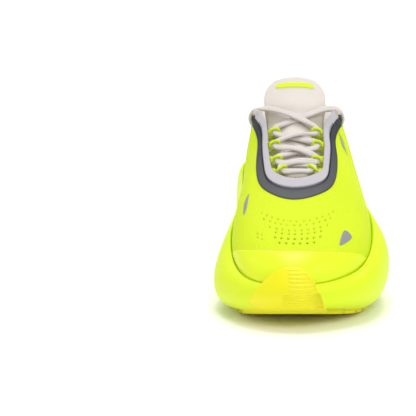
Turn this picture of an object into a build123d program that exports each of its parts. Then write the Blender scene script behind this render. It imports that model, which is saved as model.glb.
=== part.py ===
from build123d import *

import os

import numpy as np

# A left running shoe, in millimetres. Toe towards -Y, heel towards +Y, medial side towards -X, +Z up.
# The origin is on the ground, under the centre of the shoe's bounding box.
#
# The upper is a ring of fabric between the feather line (its bottom edge, inside the midsole's cup) and the
# top line (the throat and collar edge). Each ring line runs round the shoe through the same stations, from the
# back of the heel along the medial side to the toe and back along the lateral side. At each station, a cubic
# Bezier profile runs from the feather line to the top line. Every layer of the upper is a patch of that
# surface, between two offsets along its outward normal.

# ---------------------------------------------------------------- driving dimensions
MIDFOOT_RISE = 26.0  # height of the feather line at the midfoot
RUBBER = 3.2  # outsole thickness
EDGE_LIP = 2.0  # height of the outsole's upright edge
FOREFOOT_END, HEEL_START = 0.0, 42.0  # the foam of the arch is bare between the two outsoles
TREAD_PITCH, GROOVE_WIDTH, GROOVE_DEPTH = 13.0, 2.6, 1.7
KNIT = 1.8  # knit upper
FILM = 0.5  # fused films: toe overlay, eyestay overlay
GAP = 0.12  # glue line between layers
CUP_GAP = 0.35  # glue line between the upper and the midsole's cup
BOARD = 1.2  # strobel board
INSOLE = 4.0
LACE_D = 3.4  # the lace as a round cord
EYELET_D = 5.4
AGLET_D = 4.2
AGLET_L = 22.0
LOOP_CORD_D = 1.9
TONGUE_X = -2.5  # the throat's centre plane

# Ring lines of the upper: heel back, heel corner, ankle, eyestay top, throat x3, throat corner, toe, and back.
TOP_LINE = [
    (0.5, 141, 106), (-22, 122, 98), (-30, 72, 84), (-29.5, 20, 113.5), (-22.5, 6, 108), (-21.8, -12, 99),
    (-20.5, -33, 89.5), (-17.3, -46, 84.7), (-4, -54, 82), (12, -46, 84.7), (15.5, -33, 89.5), (16.8, -12, 99),
    (17.5, 6, 108), (27, 20, 113.5), (31, 72, 84), (23, 122, 98),
]
UPPER_HANDLE = [
    (0, 143, 88), (-27, 124, 82), (-36, 74, 72), (-36, 18, 95), (-36, -8, 96), (-38, -34, 86),
    (-42, -70, 70), (-26, -100, 60), (-6, -112, 55), (16, -103, 60), (34, -72, 70), (35, -35, 86),
    (34, -8, 96), (35, 18, 95), (37, 74, 72), (28, 124, 82),
]
LOWER_HANDLE = [
    (0, 149, 56), (-35, 124, 56), (-41, 72, 52), (-40.5, 18, 60), (-44.5, -22, 55), (-49.5, -60, 52),
    (-50, -101, 47), (-38, -134, 46), (-8.5, -149.5, 50), (23, -138, 46), (46, -106, 47), (53, -62, 52),
    (52, -22, 55), (45, 18, 60), (42, 72, 52), (36, 124, 56),
]
FEATHER_LINE = [
    (0, 142, 34), (-29, 118, 34), (-35, 70, 32), (-37, 20, 29), (-42, -20, MIDFOOT_RISE), (-46, -60, 24.5),
    (-42.5, -98, 24), (-33, -128, 24.5), (-8, -143.5, 26), (17, -131, 24.5), (37, -103, 24), (47, -62, 24.5),
    (46, -20, MIDFOOT_RISE), (40, 20, 29), (36, 70, 32), (30, 118, 34),
]

# Ring lines of the sole unit: the tread's edge, the widest line and the rim that meets the upper.
TREAD_EDGE = [
    (0, 138), (-27, 125), (-35, 95), (-35, 55), (-38, -10), (-43, -60), (-41, -100), (-30, -125),
    (-8, -138), (12, -129), (32, -110), (44, -72), (45, -35), (42, 0), (38, 55), (37, 95), (27, 125),
]
WIDEST = [
    (0, 149.7, 40), (-32, 134, 44), (-42, 100, 48), (-41, 55, 46), (-46, -5, 41), (-58, -65, 22),
    (-54, -107, 21), (-34, -138, 22), (-8, -149.7, 23), (20, -140, 22), (46, -114, 21), (58.2, -72, 22),
    (57.6, -38, 30), (49, 0, 42), (43.5, 55, 46), (43.5, 100, 48), (33, 134, 44),
]
RIM = [
    (0, 146, 60), (-32, 122, 61), (-38, 90, 59), (-38.5, 55, 56), (-43, -15, 52), (-48.5, -65, 45.5),
    (-45.5, -102, 35), (-33, -132, 30), (-8, -146.5, 30), (19, -135, 30), (40, -110, 33.5), (49, -75, 43.5),
    (49.5, -45, 50), (46, 0, 53), (39.5, 55, 56), (39.5, 90, 59), (33, 122, 61),
]

# How far the pale band, and the charcoal overlay outside it, reach down from the throat's edge at each station.
BAND_WIDTH = [4, 4, 4, 5, 6.6, 7.5, 9.8, 12.8, 11.3, 12.8, 9.8, 7.5, 6.6, 5, 4, 4]
TRIM_WIDTH = [8, 8, 8, 11, 12.6, 15.5, 20.3, 23.5, 23.5, 23.5, 20.3, 15.5, 12.6, 11, 8, 8]

# How far the sole's side above the widest line is drawn back towards the rim, 0 to 1.
DRAWN_BACK = [0, 0, 0, 0.1, 0.35, 0.5, 0.35, 0.1, 0, 0, 0, 0, 0, 0, 0, 0, 0]

# Side view: the toe spring and heel bevel rise from a flat tread, and the lasting board rises to the heel.
TREAD_FRONT, TREAD_BACK = -84.0, 98.0
TOE_SPRING, HEEL_BEVEL = 13.5, 7.0  # rise 66 mm ahead of the flat, and 50 mm behind it
BOARD_SIDE = [
    (-165, 27), (-146, 26), (-128, 24.5), (-98, 24), (-62, 24.5), (-20, MIDFOOT_RISE), (20, 29), (70, 32),
    (118, 34), (165, 34),
]

# The tongue's centre line in side view, and its half-width and the fall to its edges there.
TONGUE_LINE = [
    (-61, 70.5), (-52, 76.5), (-38, 84), (-18, 93.5), (0, 102.5), (13, 111.5), (22, 123.0), (27, 131.5),
    (29.5, 136.8),
]
TONGUE_HALF = [15.0, 18.0, 21.0, 22.0, 21.5, 20.5, 21.5, 17.5, 6.0]
TONGUE_FALL = [4.0, 5.0, 6.0, 8.0, 9.0, 8.0, 6.0, 4.0, 1.0]
TONGUE_FACE = 1.0
TONGUE_FOAM = 4.6
TONGUE_LINING = 0.8

# The lacing: four cord loops a side, given by the station of the medial one, from the toe end up.
LOOP_STATIONS = [6.74, 5.93, 5.17, 4.39]
LACE_IN = 4.7  # the lace's centre line, inside the knit's inner face at the throat's edge
LACE_RISE = 0.5  # and above it
TURN_HALF = 3.5  # half the distance between a turn's two corners
BAR_DROP = 3.2  # how much lower the corners of the bar across the toe end are
CORD_RUN = [7.0, 8.5, 9.5, 4.5]  # how far each loop's cord runs on along the throat's edge
LOOP_REACH = [8.4, 7.6, 7.6, 7.6]  # how far in each loop reaches round the lace
LOOP_SHIFT = [-3.7, -0.4, 0.0, -1.2]  # how far each loop holds the lace from the middle of its turn
STATIONS = len(TOP_LINE)


# ---------------------------------------------------------------- curves and surfaces
def closed_curve(points):
    """A closed cubic through the points, smooth to its second derivative; it is read at whole-number stations."""
    p = np.array(points, float)
    n = len(p)
    system = 4 * np.eye(n) + np.roll(np.eye(n), 1, axis=1) + np.roll(np.eye(n), -1, axis=1)
    slope = np.linalg.solve(system, 3 * (np.roll(p, -1, axis=0) - np.roll(p, 1, axis=0)))

    def read(u):
        u = np.asarray(u, float) % n
        i = np.floor(u).astype(int) % n
        t = (u - np.floor(u))[..., None]
        j = (i + 1) % n
        value = p[i] * (2 * t**3 - 3 * t**2 + 1) + p[j] * (3 * t**2 - 2 * t**3)
        return value + slope[i] * (t**3 - 2 * t**2 + t) + slope[j] * (t**3 - t**2)

    return read


def open_curve(points):
    """A cubic through the points with flattened ends, read from 0 to 1; slopes are those of its neighbours."""
    p = np.array(points, float)
    n = len(p) - 1
    slope = np.gradient(p, axis=0)

    def read(s):
        s = np.clip(np.asarray(s, float), 0, 1) * n
        i = np.minimum(np.floor(s).astype(int), n - 1)
        t = (s - i)[..., None]
        value = p[i] * (2 * t**3 - 3 * t**2 + 1) + p[i + 1] * (3 * t**2 - 2 * t**3)
        return value + slope[i] * (t**3 - 2 * t**2 + t) + slope[i + 1] * (t**3 - t**2)

    return read


top_line = closed_curve(TOP_LINE)
upper_handle = closed_curve(UPPER_HANDLE)
lower_handle = closed_curve(LOWER_HANDLE)
feather_line = closed_curve(FEATHER_LINE)
widest = closed_curve(WIDEST)
rim = closed_curve(RIM)
drawn_back = closed_curve([(share,) for share in DRAWN_BACK])
tread_plan = closed_curve(TREAD_EDGE)


def ground(y):
    """The height of the ground line in side view."""
    toe = np.clip((TREAD_FRONT - np.asarray(y, float)) / 66, 0, None)
    heel = np.clip((np.asarray(y, float) - TREAD_BACK) / 50, 0, None)
    return TOE_SPRING * toe**1.5 + HEEL_BEVEL * heel**1.5


def tread_edge(u):
    plan = tread_plan(u)
    return np.concatenate([plan, ground(plan[..., 1:]) + EDGE_LIP], axis=-1)


def bezier(a, b, c, d, v):
    v = np.asarray(v, float)[..., None]
    return (1 - v) ** 3 * a + 3 * (1 - v) ** 2 * v * b + 3 * (1 - v) * v**2 * c + v**3 * d


def upper_point(u, v):
    """The upper's outer face: station u round the shoe, v from 0 at the feather line to 1 at the top line."""
    return bezier(feather_line(u), lower_handle(u), upper_handle(u), top_line(u), v)


def sole_point(u, v):
    """The sole unit's side: station u round the shoe, v from 0 at the tread's edge to 1 at the rim."""
    low, wide, high = tread_edge(u), widest(u), rim(u)
    bulge = (low + high) / 2 + (wide - (low + high) / 2) * 4 / 3
    back = drawn_back(u) * (bulge - high)
    under, over = bulge + back * 0.8, bulge - back
    under[..., 2] = low[..., 2] + (wide[..., 2] - low[..., 2]) * 0.25
    over[..., 2] = high[..., 2] - (high[..., 2] - wide[..., 2]) * 0.25
    return bezier(low, under, over, high, v)


def outward(surface, u, v):
    """The unit normal of a ring surface, pointing out of the shoe."""
    step = 1e-3
    along = surface(u + step, v) - surface(u - step, v)
    up = surface(u, v + step) - surface(u, v - step)
    normal = np.cross(along, up)
    return normal / np.linalg.norm(normal, axis=-1, keepdims=True)


def offset_point(surface, u, v, offset):
    return surface(u, v) + outward(surface, u, v) * offset


def down_from_top(u, distance):
    """The v of the upper's profile that lies this far down from the top line, measured along the surface."""
    v = np.linspace(1, 0, 81)
    line = upper_point(np.full_like(v, u), v)
    length = np.concatenate([[0], np.cumsum(np.linalg.norm(np.diff(line, axis=0), axis=1))])
    return float(np.interp(distance, length, v))


# ---------------------------------------------------------------- solids from patches
def slab(outer, inner):
    """A closed solid between two grids of points of the same shape, with ruled sides."""
    faces = [
        Face.make_surface_from_array_of_points([[Vector(*p) for p in row] for row in grid], tol=0.02, min_deg=3)
        for grid in (outer, inner)
    ]
    sides = []
    for edge in faces[0].edges():
        middle = edge @ 0.5
        partner = min(faces[1].edges(), key=lambda e: ((e @ 0.5) - middle).length)
        sides.append(Face.make_surface_from_curves(edge, partner))
    solid = Solid(Shell(faces + sides))
    return solid if solid.volume > 0 else Solid(solid.wrapped.Reversed())


def patch(surface, stations, low, high, inside, outside, across=25, up=13):
    """A layer of a ring surface. low and high give v at a station; inside and outside are the layer's offsets."""
    u = np.linspace(*stations, across)
    share = np.linspace(0, 1, up)
    grids = []
    for offset in (outside, inside):
        rows = []
        for station in u:
            v = low(station) + (high(station) - low(station)) * share
            rows.append(offset_point(surface, np.full_like(v, station), v, offset))
        grids.append(rows)
    return slab(*grids)


def constant(value):
    return lambda station: value


def ring_wire(points):
    return Wire([Edge.make_spline([Vector(*p) for p in points], periodic=True)])


def ring_solid(rings):
    """A ruled loft through closed rings of points; the first and last are flat."""
    return Solid.make_loft([ring_wire(r) for r in rings], ruled=True)


def flat_ring(points, z, shrink=1.0):
    """The ring's plan outline at one height, drawn in towards its centre."""
    centre = points.mean(axis=0)
    flat = centre + (points - centre) * shrink
    flat[:, 2] = z
    return flat


def side_prism(edges):
    """A closed outline in side view, drawn right across the shoe."""
    return Solid.extrude(Face(Wire(edges)), Vector(180, 0, 0)).translate(Vector(-90, 0, 0))


def ground_line(rise):
    """The ground line, raised, as edges from the toe to the heel."""
    toe_y = np.linspace(-165, TREAD_FRONT, 12)
    heel_y = np.linspace(TREAD_BACK, 165, 12)
    toe = Edge.make_spline([Vector(0, y, ground(y) + rise) for y in toe_y])
    flat = Edge.make_line(Vector(0, TREAD_FRONT, rise), Vector(0, TREAD_BACK, rise))
    heel = Edge.make_spline([Vector(0, y, ground(y) + rise) for y in heel_y])
    return [toe, flat, heel]


def foam_line():
    """The underside of the foam in side view: over the rubber, and down to the ground at the bare arch."""
    top = RUBBER + GAP
    toe, _, heel = ground_line(top)
    corners = [
        (TREAD_FRONT, top), (FOREFOOT_END + GAP, top), (FOREFOOT_END + GAP, 0), (HEEL_START - GAP, 0),
        (HEEL_START - GAP, top), (TREAD_BACK, top),
    ]
    steps = Polyline(*[(0, y, z) for y, z in corners])
    return [toe, *steps.edges(), heel]


def between(lower, upper):
    """The solid between two lines in side view, given as lists of edges that start and end at the same y."""
    ends = [Edge.make_line(lower[0] @ 0, upper[0] @ 0), Edge.make_line(lower[-1] @ 1, upper[-1] @ 1)]
    return side_prism([*lower, *upper, *ends])


def level_line(z):
    return [Edge.make_line(Vector(0, -165, z), Vector(0, 165, z))]


def board_line(rise):
    return [Edge.make_spline([Vector(0, y, z + rise) for y, z in BOARD_SIDE])]


def tube(points, radii, diameter):
    """A round cord along straight runs joined by tangent arcs."""
    path = FilletPolyline(*points, radius=radii)
    start = Plane(origin=path @ 0, z_dir=path % 0)
    return sweep(start * Circle(diameter / 2), path=path).solids()[0]


# ---------------------------------------------------------------- the sole unit
def ring_stations(count, stations):
    return np.linspace(0, stations, count + 1)[:-1]


def sole_body():
    u = ring_stations(2 * len(RIM), len(RIM))
    side = [sole_point(u, np.full_like(u, v)) for v in (0, 0.25, 0.5, 0.75, 1)]
    inner_rim = side[-1] - outward(sole_point, u, np.full_like(u, 0.97)) * 9
    inner_rim[:, 2] = side[-1][:, 2] + 0.3
    return ring_solid([flat_ring(side[0], -8), *side, inner_rim, flat_ring(inner_rim, 70, 0.9)])


def cup_top(u):
    """At each station, the v at which the upper leaves the midsole's cup, 3 mm above the rim."""
    rim_points = rim(np.linspace(0, len(RIM), 400))
    v = np.linspace(0, 0.6, 121)
    found = []
    for station in u:
        line = upper_point(np.full_like(v, station), v)
        nearest = np.linalg.norm(rim_points[:, :2] - line[30, :2], axis=1).argmin()
        found.append(np.interp(rim_points[nearest, 2] + 3, line[:, 2], v))
    return np.array(found)


def foot_envelope():
    """Everything inside the upper's outer face, drawn straight up from just above the rim."""
    u = ring_stations(2 * STATIONS, STATIONS)
    top = cup_top(u)
    rings = [offset_point(upper_point, u, top * share, CUP_GAP) for share in (0.01, 0.33, 0.66, 1)]
    rings = [flat_ring(rings[0], 5), *rings, flat_ring(rings[-1], 100)]
    return ring_solid(rings) & between(board_line(-0.5), level_line(200))


def sole_band(low, high, front, back):
    """What lies between two heights above the ground line, from front to back."""
    slab_solid = between(ground_line(low), ground_line(high))
    return slab_solid & Pos(0, (front + back) / 2, 50) * Box(200, back - front, 200)


def outsole(body, front, back):
    tread = body & sole_band(0, RUBBER, front, back)
    first = TREAD_PITCH * np.ceil((front + 4) / TREAD_PITCH)
    grooves = [
        Pos(0, y, float(ground(y))) * Box(150, GROOVE_WIDTH, 2 * GROOVE_DEPTH)
        for y in np.arange(first, min(back, 140) - 4, TREAD_PITCH)
    ]
    return tread - grooves


def toe_bumper():
    """The rubber that wraps up over the toe: it covers the foam's side and 12 mm of the upper above the rim."""
    u = np.linspace(6.4, 9.2, 41)
    grids = []
    for foam_offset, cap_offset in ((1.5, 2.3), (0.1, 0.9)):
        side = [offset_point(sole_point, u, np.full_like(u, v), foam_offset) for v in (0.02, 0.2, 0.4, 0.6, 0.8)]
        cap = [offset_point(upper_point, u, np.full_like(u, v), cap_offset) for v in (0.14, 0.2, 0.27, 0.34)]
        grids.append(np.array(side + cap).transpose(1, 0, 2))
    bell = Spline(
        (-43, -20, 4), (-37, -20, 15), (-30, -20, 27.5), (-22, -20, 36), (-14, -20, 40.8), (-6, -20, 41.5),
        (1.5, -20, 38.5), (7.5, -20, 30), (12.5, -20, 20), (17, -20, 6),
    )
    outline = Face(Wire([bell.edge(), Edge.make_line(bell @ 1, bell @ 0)]))
    return slab(*grids) & Solid.extrude(outline, Vector(0, -180, 0))


def plan_prism(points, low, high):
    """A plan outline drawn up between two heights."""
    face = Face(ring_wire(flat_ring(points, low)))
    return Solid.extrude(face, Vector(0, 0, high - low))


def sole_parts():
    body = sole_body()
    foam = body & between(foam_line(), level_line(120))
    return {
        "outsole_forefoot": outsole(body, -170, FOREFOOT_END),
        "outsole_heel": outsole(body, HEEL_START, 170),
        "toe_bumper": toe_bumper(),
        "midsole": foam - foot_envelope(),
    }


def footbed_parts():
    u = ring_stations(64, STATIONS)
    edge = feather_line(u)
    inward = outward(upper_point, u, np.full_like(u, 0.0))
    inward[:, 2] = 0
    inward /= -np.linalg.norm(inward, axis=1, keepdims=True)
    board = plan_prism(edge + inward * (KNIT + 0.6), 10, 60) & between(board_line(-0.1), board_line(BOARD - 0.1))
    bed = plan_prism(edge + inward * (KNIT + 1.0), 10, 60)
    bed = bed & between(board_line(BOARD + 0.1), board_line(BOARD + 0.1 + INSOLE))
    return {"strobel_board": board, "insole": bed}


# ---------------------------------------------------------------- the upper's layers
def station_curve(pairs):
    """A value given at some stations, read in between."""
    stations, values = np.array(pairs, float).T
    return lambda station: float(np.interp(station, stations, values))


def below_top(widths, extra):
    """The v that lies this far below the top line; the widths are given at the whole stations."""
    read = closed_curve([(width,) for width in widths])
    return lambda station: down_from_top(station, float(read(station)[0]) + extra)


def upper_shell():
    return patch(upper_point, (0.04, STATIONS - 0.04), constant(0), constant(1), -KNIT, 0, 129, 19)


def upper_parts():
    collar = (13.5, 18.5)
    throat = (2.95, 13.05)
    cap_top = station_curve(
        [(5.5, 0.25), (6.5, 0.34), (7.4, 0.42), (8, 0.45), (8.6, 0.42), (9.5, 0.34), (10.5, 0.27)]
    )
    cap_foot = station_curve(
        [(5.5, 0.24), (6.2, 0.19), (7, 0.115), (8, 0.095), (9, 0.115), (9.8, 0.16), (10.5, 0.25)]
    )
    return {
        "upper_knit": upper_shell(),
        "toe_overlay": patch(upper_point, (5.9, 10.1), cap_foot, cap_top, GAP, GAP + FILM, 49, 9),
        "toe_puff": patch(upper_point, (6.2, 9.8), constant(0.06), constant(0.34), -KNIT - 0.9, -KNIT - GAP, 41, 9),
        "heel_counter": patch(
            upper_point, (14.2, 17.8), constant(0.05), constant(0.42), -KNIT - 1.6, -KNIT - GAP, 41, 9
        ),
        "heel_panel": patch(upper_point, (14.5, 17.5), constant(0.5), constant(0.99), GAP, 0.9, 33, 11),
        "backstay_tape": patch(upper_point, (15.84, 16.16), constant(0.5), constant(0.99), 1.0, 1.7, 5, 11),
        "collar_padding": patch(
            upper_point, collar, constant(0.48), constant(0.975), -KNIT - 6.6, -KNIT - GAP, 49, 11
        ),
        "collar_lining": patch(upper_point, collar, constant(0.3), constant(0.985), -KNIT - 7.6, -KNIT - 6.7, 49, 11),
        "eyestay_overlay": patch(
            upper_point, throat, below_top(TRIM_WIDTH, 0), below_top(BAND_WIDTH, 0.3), GAP, GAP + FILM, 81, 7
        ),
        "eyestay_band": patch(upper_point, throat, below_top(BAND_WIDTH, 0), constant(1), GAP, 1.1, 81, 7),
    }


def trim_piece(station, v, width, height, slant=0.0, thickness=0.35, base=GAP):
    """A small film piece centred at a station and v; the slant moves its top along the shoe."""
    centre = upper_point(np.array(station), np.array(v))
    per_station = np.linalg.norm(upper_point(np.array(station + 0.01), np.array(v)) - centre) / 0.01
    per_v = np.linalg.norm(upper_point(np.array(station), np.array(v + 0.01)) - centre) / 0.01
    half_u, half_v = width / per_station / 2, height / per_v / 2
    lean = slant / per_station / 2
    grids = []
    for offset in (base + thickness, base):
        rows = []
        for a in np.linspace(-1, 1, 6):
            b = np.linspace(-1, 1, 6)
            rows.append(offset_point(upper_point, station + a * half_u + b * lean, v + b * half_v, offset))
        grids.append(rows)
    return slab(*grids)


def trim_parts():
    parts = {
        "reflector_lateral": trim_piece(9.44, 0.475, 8.0, 8.5),
        "reflector_medial": trim_piece(6.08, 0.66, 5.0, 14.0),
    }
    for number in range(3):
        station, v = 12.01 + 0.13 * number, 0.70 + 0.02 * number
        parts[f"side_dash_{number + 1}"] = trim_piece(station, v, 1.8, 7.0, slant=1.5)
    return parts


# ---------------------------------------------------------------- the tongue
tongue_line = open_curve(TONGUE_LINE)
tongue_shape = open_curve(list(zip(TONGUE_HALF, TONGUE_FALL)))


def tongue_point(s, a):
    """The tongue's face: s runs from its seam to its top end, a from -1 at its medial edge to 1."""
    line, shape = tongue_line(s), tongue_shape(s)
    x = TONGUE_X + a * shape[..., 0]
    return np.stack([x, line[..., 0], line[..., 1] - shape[..., 1] * a**2], axis=-1)


def tongue_layer(outside, inside, start=0.0, end=1.0, width=1.0):
    step = 1e-3
    s = np.linspace(start, end, 25)
    grids = []
    for offset in (outside, inside):
        rows = []
        for a in np.linspace(-width, width, 13):
            across = np.full_like(s, a)
            side = tongue_point(s, across + step) - tongue_point(s, across - step)
            along = tongue_point(np.minimum(s + step, 1), across) - tongue_point(np.maximum(s - step, 0), across)
            normal = np.cross(side, along)
            normal /= np.linalg.norm(normal, axis=1, keepdims=True)
            rows.append(tongue_point(s, across) + normal * offset)
        grids.append(rows)
    return slab(*grids)


def tongue_parts():
    back = TONGUE_FACE + GAP + TONGUE_FOAM
    return {
        "tongue_face": tongue_layer(0, -TONGUE_FACE),
        "tongue_padding": tongue_layer(-TONGUE_FACE - GAP, -back, 0.03, 0.97, 0.94),
        "tongue_lining": tongue_layer(-back - GAP, -back - GAP - TONGUE_LINING),
        "tongue_badge": tongue_layer(0.1 + 0.6, 0.1, 0.855, 0.89, 0.55),
    }


# ---------------------------------------------------------------- the lacing
def throat_frame(station):
    """At a station of the throat's edge: the point, the way along it to the eyestay's top, and the way inwards."""
    here = top_line(np.array(station, float))
    toe = STATIONS / 2
    towards_top = -0.01 if station < toe else 0.01
    along = top_line(np.array(station + towards_top)) - here
    along /= np.linalg.norm(along)
    inwards = np.array([1.0 if station < toe else -1.0, 0, 0])
    inwards -= along * inwards.dot(along)
    return here, along, inwards / np.linalg.norm(inwards)


def along_edge(station, distance):
    """The station that lies this far along the throat's edge, towards the eyestay's top."""
    pitch = np.linalg.norm(top_line(np.array(station + 0.01)) - top_line(np.array(station - 0.01))) / 0.02
    return station + distance / pitch * (-1 if station < STATIONS / 2 else 1)


def by_throat(station, inward, rise, along=0.0):
    """A point this far in from the knit's inner face at the throat's edge, and above the edge."""
    station = along_edge(station, along)
    here, _, inwards = throat_frame(station)
    face = offset_point(upper_point, np.array(float(station)), np.array(1.0), -KNIT) - here
    return here + inwards * (inward + max(0.0, face.dot(inwards))) + np.array([0, 0, rise])


def under_knit(station, distance, depth, along):
    """A point beneath the knit, this far outwards from the throat's edge."""
    station = along_edge(station, along)
    v = down_from_top(station, distance)
    return offset_point(upper_point, np.array(float(station)), np.array(v), -KNIT - depth)


def corner_radii(points, share=0.45, largest=200.0):
    """The largest arc that the two runs at each corner leave room for."""
    radii = []
    for before, here, after in zip(points, points[1:], points[2:]):
        first, second = Vector(*here) - Vector(*before), Vector(*after) - Vector(*here)
        half_turn = np.radians(first.get_angle(second)) / 2
        radii.append(min(largest, share * min(first.length, second.length) / np.tan(half_turn)))
    return radii


def cord(points, diameter, name):
    radii = corner_radii(points)
    solid = tube([tuple(p) for p in points], radii, diameter)
    length = FilletPolyline(*[tuple(p) for p in points], radius=radii).length
    expected = length * np.pi * diameter**2 / 4
    print(f"{name}: length {length:.1f}, smallest radius {min(radii):.1f}, volume {solid.volume / expected:.3f}")
    return solid


def loop_route(station, run, reach, shift):
    """From under the knit, along the throat's edge, up and over the lace, down inside its turn and back under."""
    return [
        under_knit(station, 8.0, 1.8, run + 2.5),
        by_throat(station, 1.9, -3.2, run),
        by_throat(station, 1.3, -2.2, -1.5),
        by_throat(station, 1.3, 3.8, shift - 1.2),
        by_throat(station, reach, 3.9, shift),
        by_throat(station, reach - 0.1, -2.6, shift),
        by_throat(station, 1.4, -3.9, shift / 2 + 1.7),
        under_knit(station, 8.0, 1.8, 1.9),
    ]


def mirrored(station):
    return STATIONS - station


def turn(station):
    """The two corners at which the lace turns back inside a cord loop, the lower one first."""
    low = TURN_HALF + (BAR_DROP if station in (LOOP_STATIONS[0], mirrored(LOOP_STATIONS[0])) else 0)
    return [by_throat(station, LACE_IN, LACE_RISE, along) for along in (-low, TURN_HALF)]


def crossing(start, end, rise):
    """The points between two turns on opposite sides of the throat, raised squarely off the run of the throat."""
    _, back, up = end - start
    away = np.array([0, -up, back]) / np.hypot(back, up)
    shares = (0.23, 0.4, 0.6, 0.77)
    rises = (0.85 * rise, rise, rise, 0.85 * rise)
    return [start * (1 - share) + end * share + away * height for share, height in zip(shares, rises)]


def eyelet_ends(side):
    """Where the lace goes in through the eyelet near the eyestay's top: a point outside and one inside."""
    x, y, _ = top_line(np.array(3.0 if side < 0 else 13.0))
    outside = np.array([x + side * 4.9, y - 1.8, 108.0])
    return outside, np.array([x - side * 0.6, y - 2.6, 103.0])


def top_end(side):
    """From the last crossing over the eyestay's top corner, in through its eyelet and down inside the quarter."""
    outside, inside = eyelet_ends(side)
    x, y, _ = top_line(np.array(3.0 if side < 0 else 13.0))
    over = [(-9.0, -3.8, 118.6), (-1.0, -1.4, 118.2), (3.9, -1.2, 114.6)]
    down = [(-0.4, -5.5, 96.0), (1.5, -13.0, 87.0), (3.5, -23.0, 78.0), (4.5, -32.0, 69.0)]
    over, down = ([np.array([x + side * a, y + b, z]) for a, b, z in part] for part in (over, down))
    return [*over, outside, inside, *down]


def lace_half(side):
    """From the bar's corner on one side up to the tucked end; it changes sides at every row."""
    points = turn(LOOP_STATIONS[0] if side < 0 else mirrored(LOOP_STATIONS[0]))
    rise = 3.8 if side < 0 else -0.1
    for station in LOOP_STATIONS[1:]:
        side = -side
        corners = turn(station if side < 0 else mirrored(station))
        points += crossing(points[-1], corners[0], rise) + corners
    end = top_end(-side)
    return points + crossing(points[-1], end[0], rise) + end


def lacing_parts():
    medial, lateral = lace_half(-1), lace_half(1)
    bar = [medial[0] * (1 - share) + lateral[0] * share + np.array([0, -0.5, 0.6]) for share in (0.3, 0.7)]
    route = medial[::-1] + bar + lateral
    parts = {"lace": cord(route, LACE_D, "lace")}
    for name, end, before in (("aglet_1", route[0], route[1]), ("aglet_2", route[-1], route[-2])):
        way = Vector(*(end - before)).normalized()
        parts[name] = Solid.make_cylinder(AGLET_D / 2, AGLET_L, Plane(origin=Vector(*end), z_dir=way))
    for number, (station, *sizes) in enumerate(zip(LOOP_STATIONS, CORD_RUN, LOOP_REACH, LOOP_SHIFT), 1):
        for side, place in (("medial", station), ("lateral", mirrored(station))):
            route = loop_route(place, *sizes)
            parts[f"lace_loop_{side}_{number}"] = cord(route, LOOP_CORD_D, f"{side} loop {number}")
    return parts


def with_eyelets(solid):
    """The solid with the two holes that the lace's ends pass through."""
    for side in (-1, 1):
        outside, inside = (Vector(*p) for p in eyelet_ends(side))
        way = (inside - outside).normalized()
        hole = Solid.make_cylinder(EYELET_D / 2, 16, Plane(origin=outside - way * 5, z_dir=way))
        solid = solid - hole
    return solid


# ---------------------------------------------------------------- the whole shoe
def build():
    parts = {**sole_parts(), **footbed_parts(), **upper_parts(), **trim_parts(), **tongue_parts(), **lacing_parts()}
    for name in ("upper_knit", "eyestay_overlay"):
        parts[name] = with_eyelets(parts[name])
    return parts


os.makedirs("parts", exist_ok=True)
for node, solid in build().items():
    export_step(solid, f"parts/{node}.step")
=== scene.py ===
"""A left running shoe's looks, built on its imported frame: foam sole, rubber, knit upper, lacing and padding."""

import bpy
import numpy as np
from mathutils import Matrix, Vector


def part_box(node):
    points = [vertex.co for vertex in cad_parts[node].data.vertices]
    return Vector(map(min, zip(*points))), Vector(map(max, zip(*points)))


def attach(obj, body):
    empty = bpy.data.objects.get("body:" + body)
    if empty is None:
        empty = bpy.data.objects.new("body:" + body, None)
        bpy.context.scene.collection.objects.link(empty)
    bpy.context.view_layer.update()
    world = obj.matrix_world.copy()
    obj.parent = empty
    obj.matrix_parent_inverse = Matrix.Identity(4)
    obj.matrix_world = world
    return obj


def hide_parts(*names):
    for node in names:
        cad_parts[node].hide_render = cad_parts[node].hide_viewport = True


bl_info = {
    "name": "Running shoe",
    "version": (1, 0, 0),
    "blender": (4, 5, 0),
    "location": "3D View > Sidebar > Shoe",
    "description": "Builds a laced running shoe, piece by piece, around its packed frame",
    "category": "Object",
}

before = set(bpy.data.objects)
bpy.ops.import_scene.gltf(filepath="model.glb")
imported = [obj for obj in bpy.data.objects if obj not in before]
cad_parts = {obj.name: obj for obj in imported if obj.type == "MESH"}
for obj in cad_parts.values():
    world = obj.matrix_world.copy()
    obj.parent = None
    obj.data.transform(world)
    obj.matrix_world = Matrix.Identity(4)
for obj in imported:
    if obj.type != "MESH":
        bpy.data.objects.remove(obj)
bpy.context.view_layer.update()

# ---------------------------------------------------------------- the shoe's ring lines, in millimetres
# They repeat the part's own, but for the tongue, which is wider here at its top end. Each ring runs from the
# back of the heel along the medial side, which is -X, to the toe, which is -Y, and back along the lateral side.
TOP_LINE = [
    (0.5, 141, 106), (-22, 122, 98), (-30, 72, 84), (-29.5, 20, 113.5), (-22.5, 6, 108), (-21.8, -12, 99),
    (-20.5, -33, 89.5), (-17.3, -46, 84.7), (-4, -54, 82), (12, -46, 84.7), (15.5, -33, 89.5), (16.8, -12, 99),
    (17.5, 6, 108), (27, 20, 113.5), (31, 72, 84), (23, 122, 98),
]
UPPER_HANDLE = [
    (0, 143, 88), (-27, 124, 82), (-36, 74, 72), (-36, 18, 95), (-36, -8, 96), (-38, -34, 86),
    (-42, -70, 70), (-26, -100, 60), (-6, -112, 55), (16, -103, 60), (34, -72, 70), (35, -35, 86),
    (34, -8, 96), (35, 18, 95), (37, 74, 72), (28, 124, 82),
]
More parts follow.
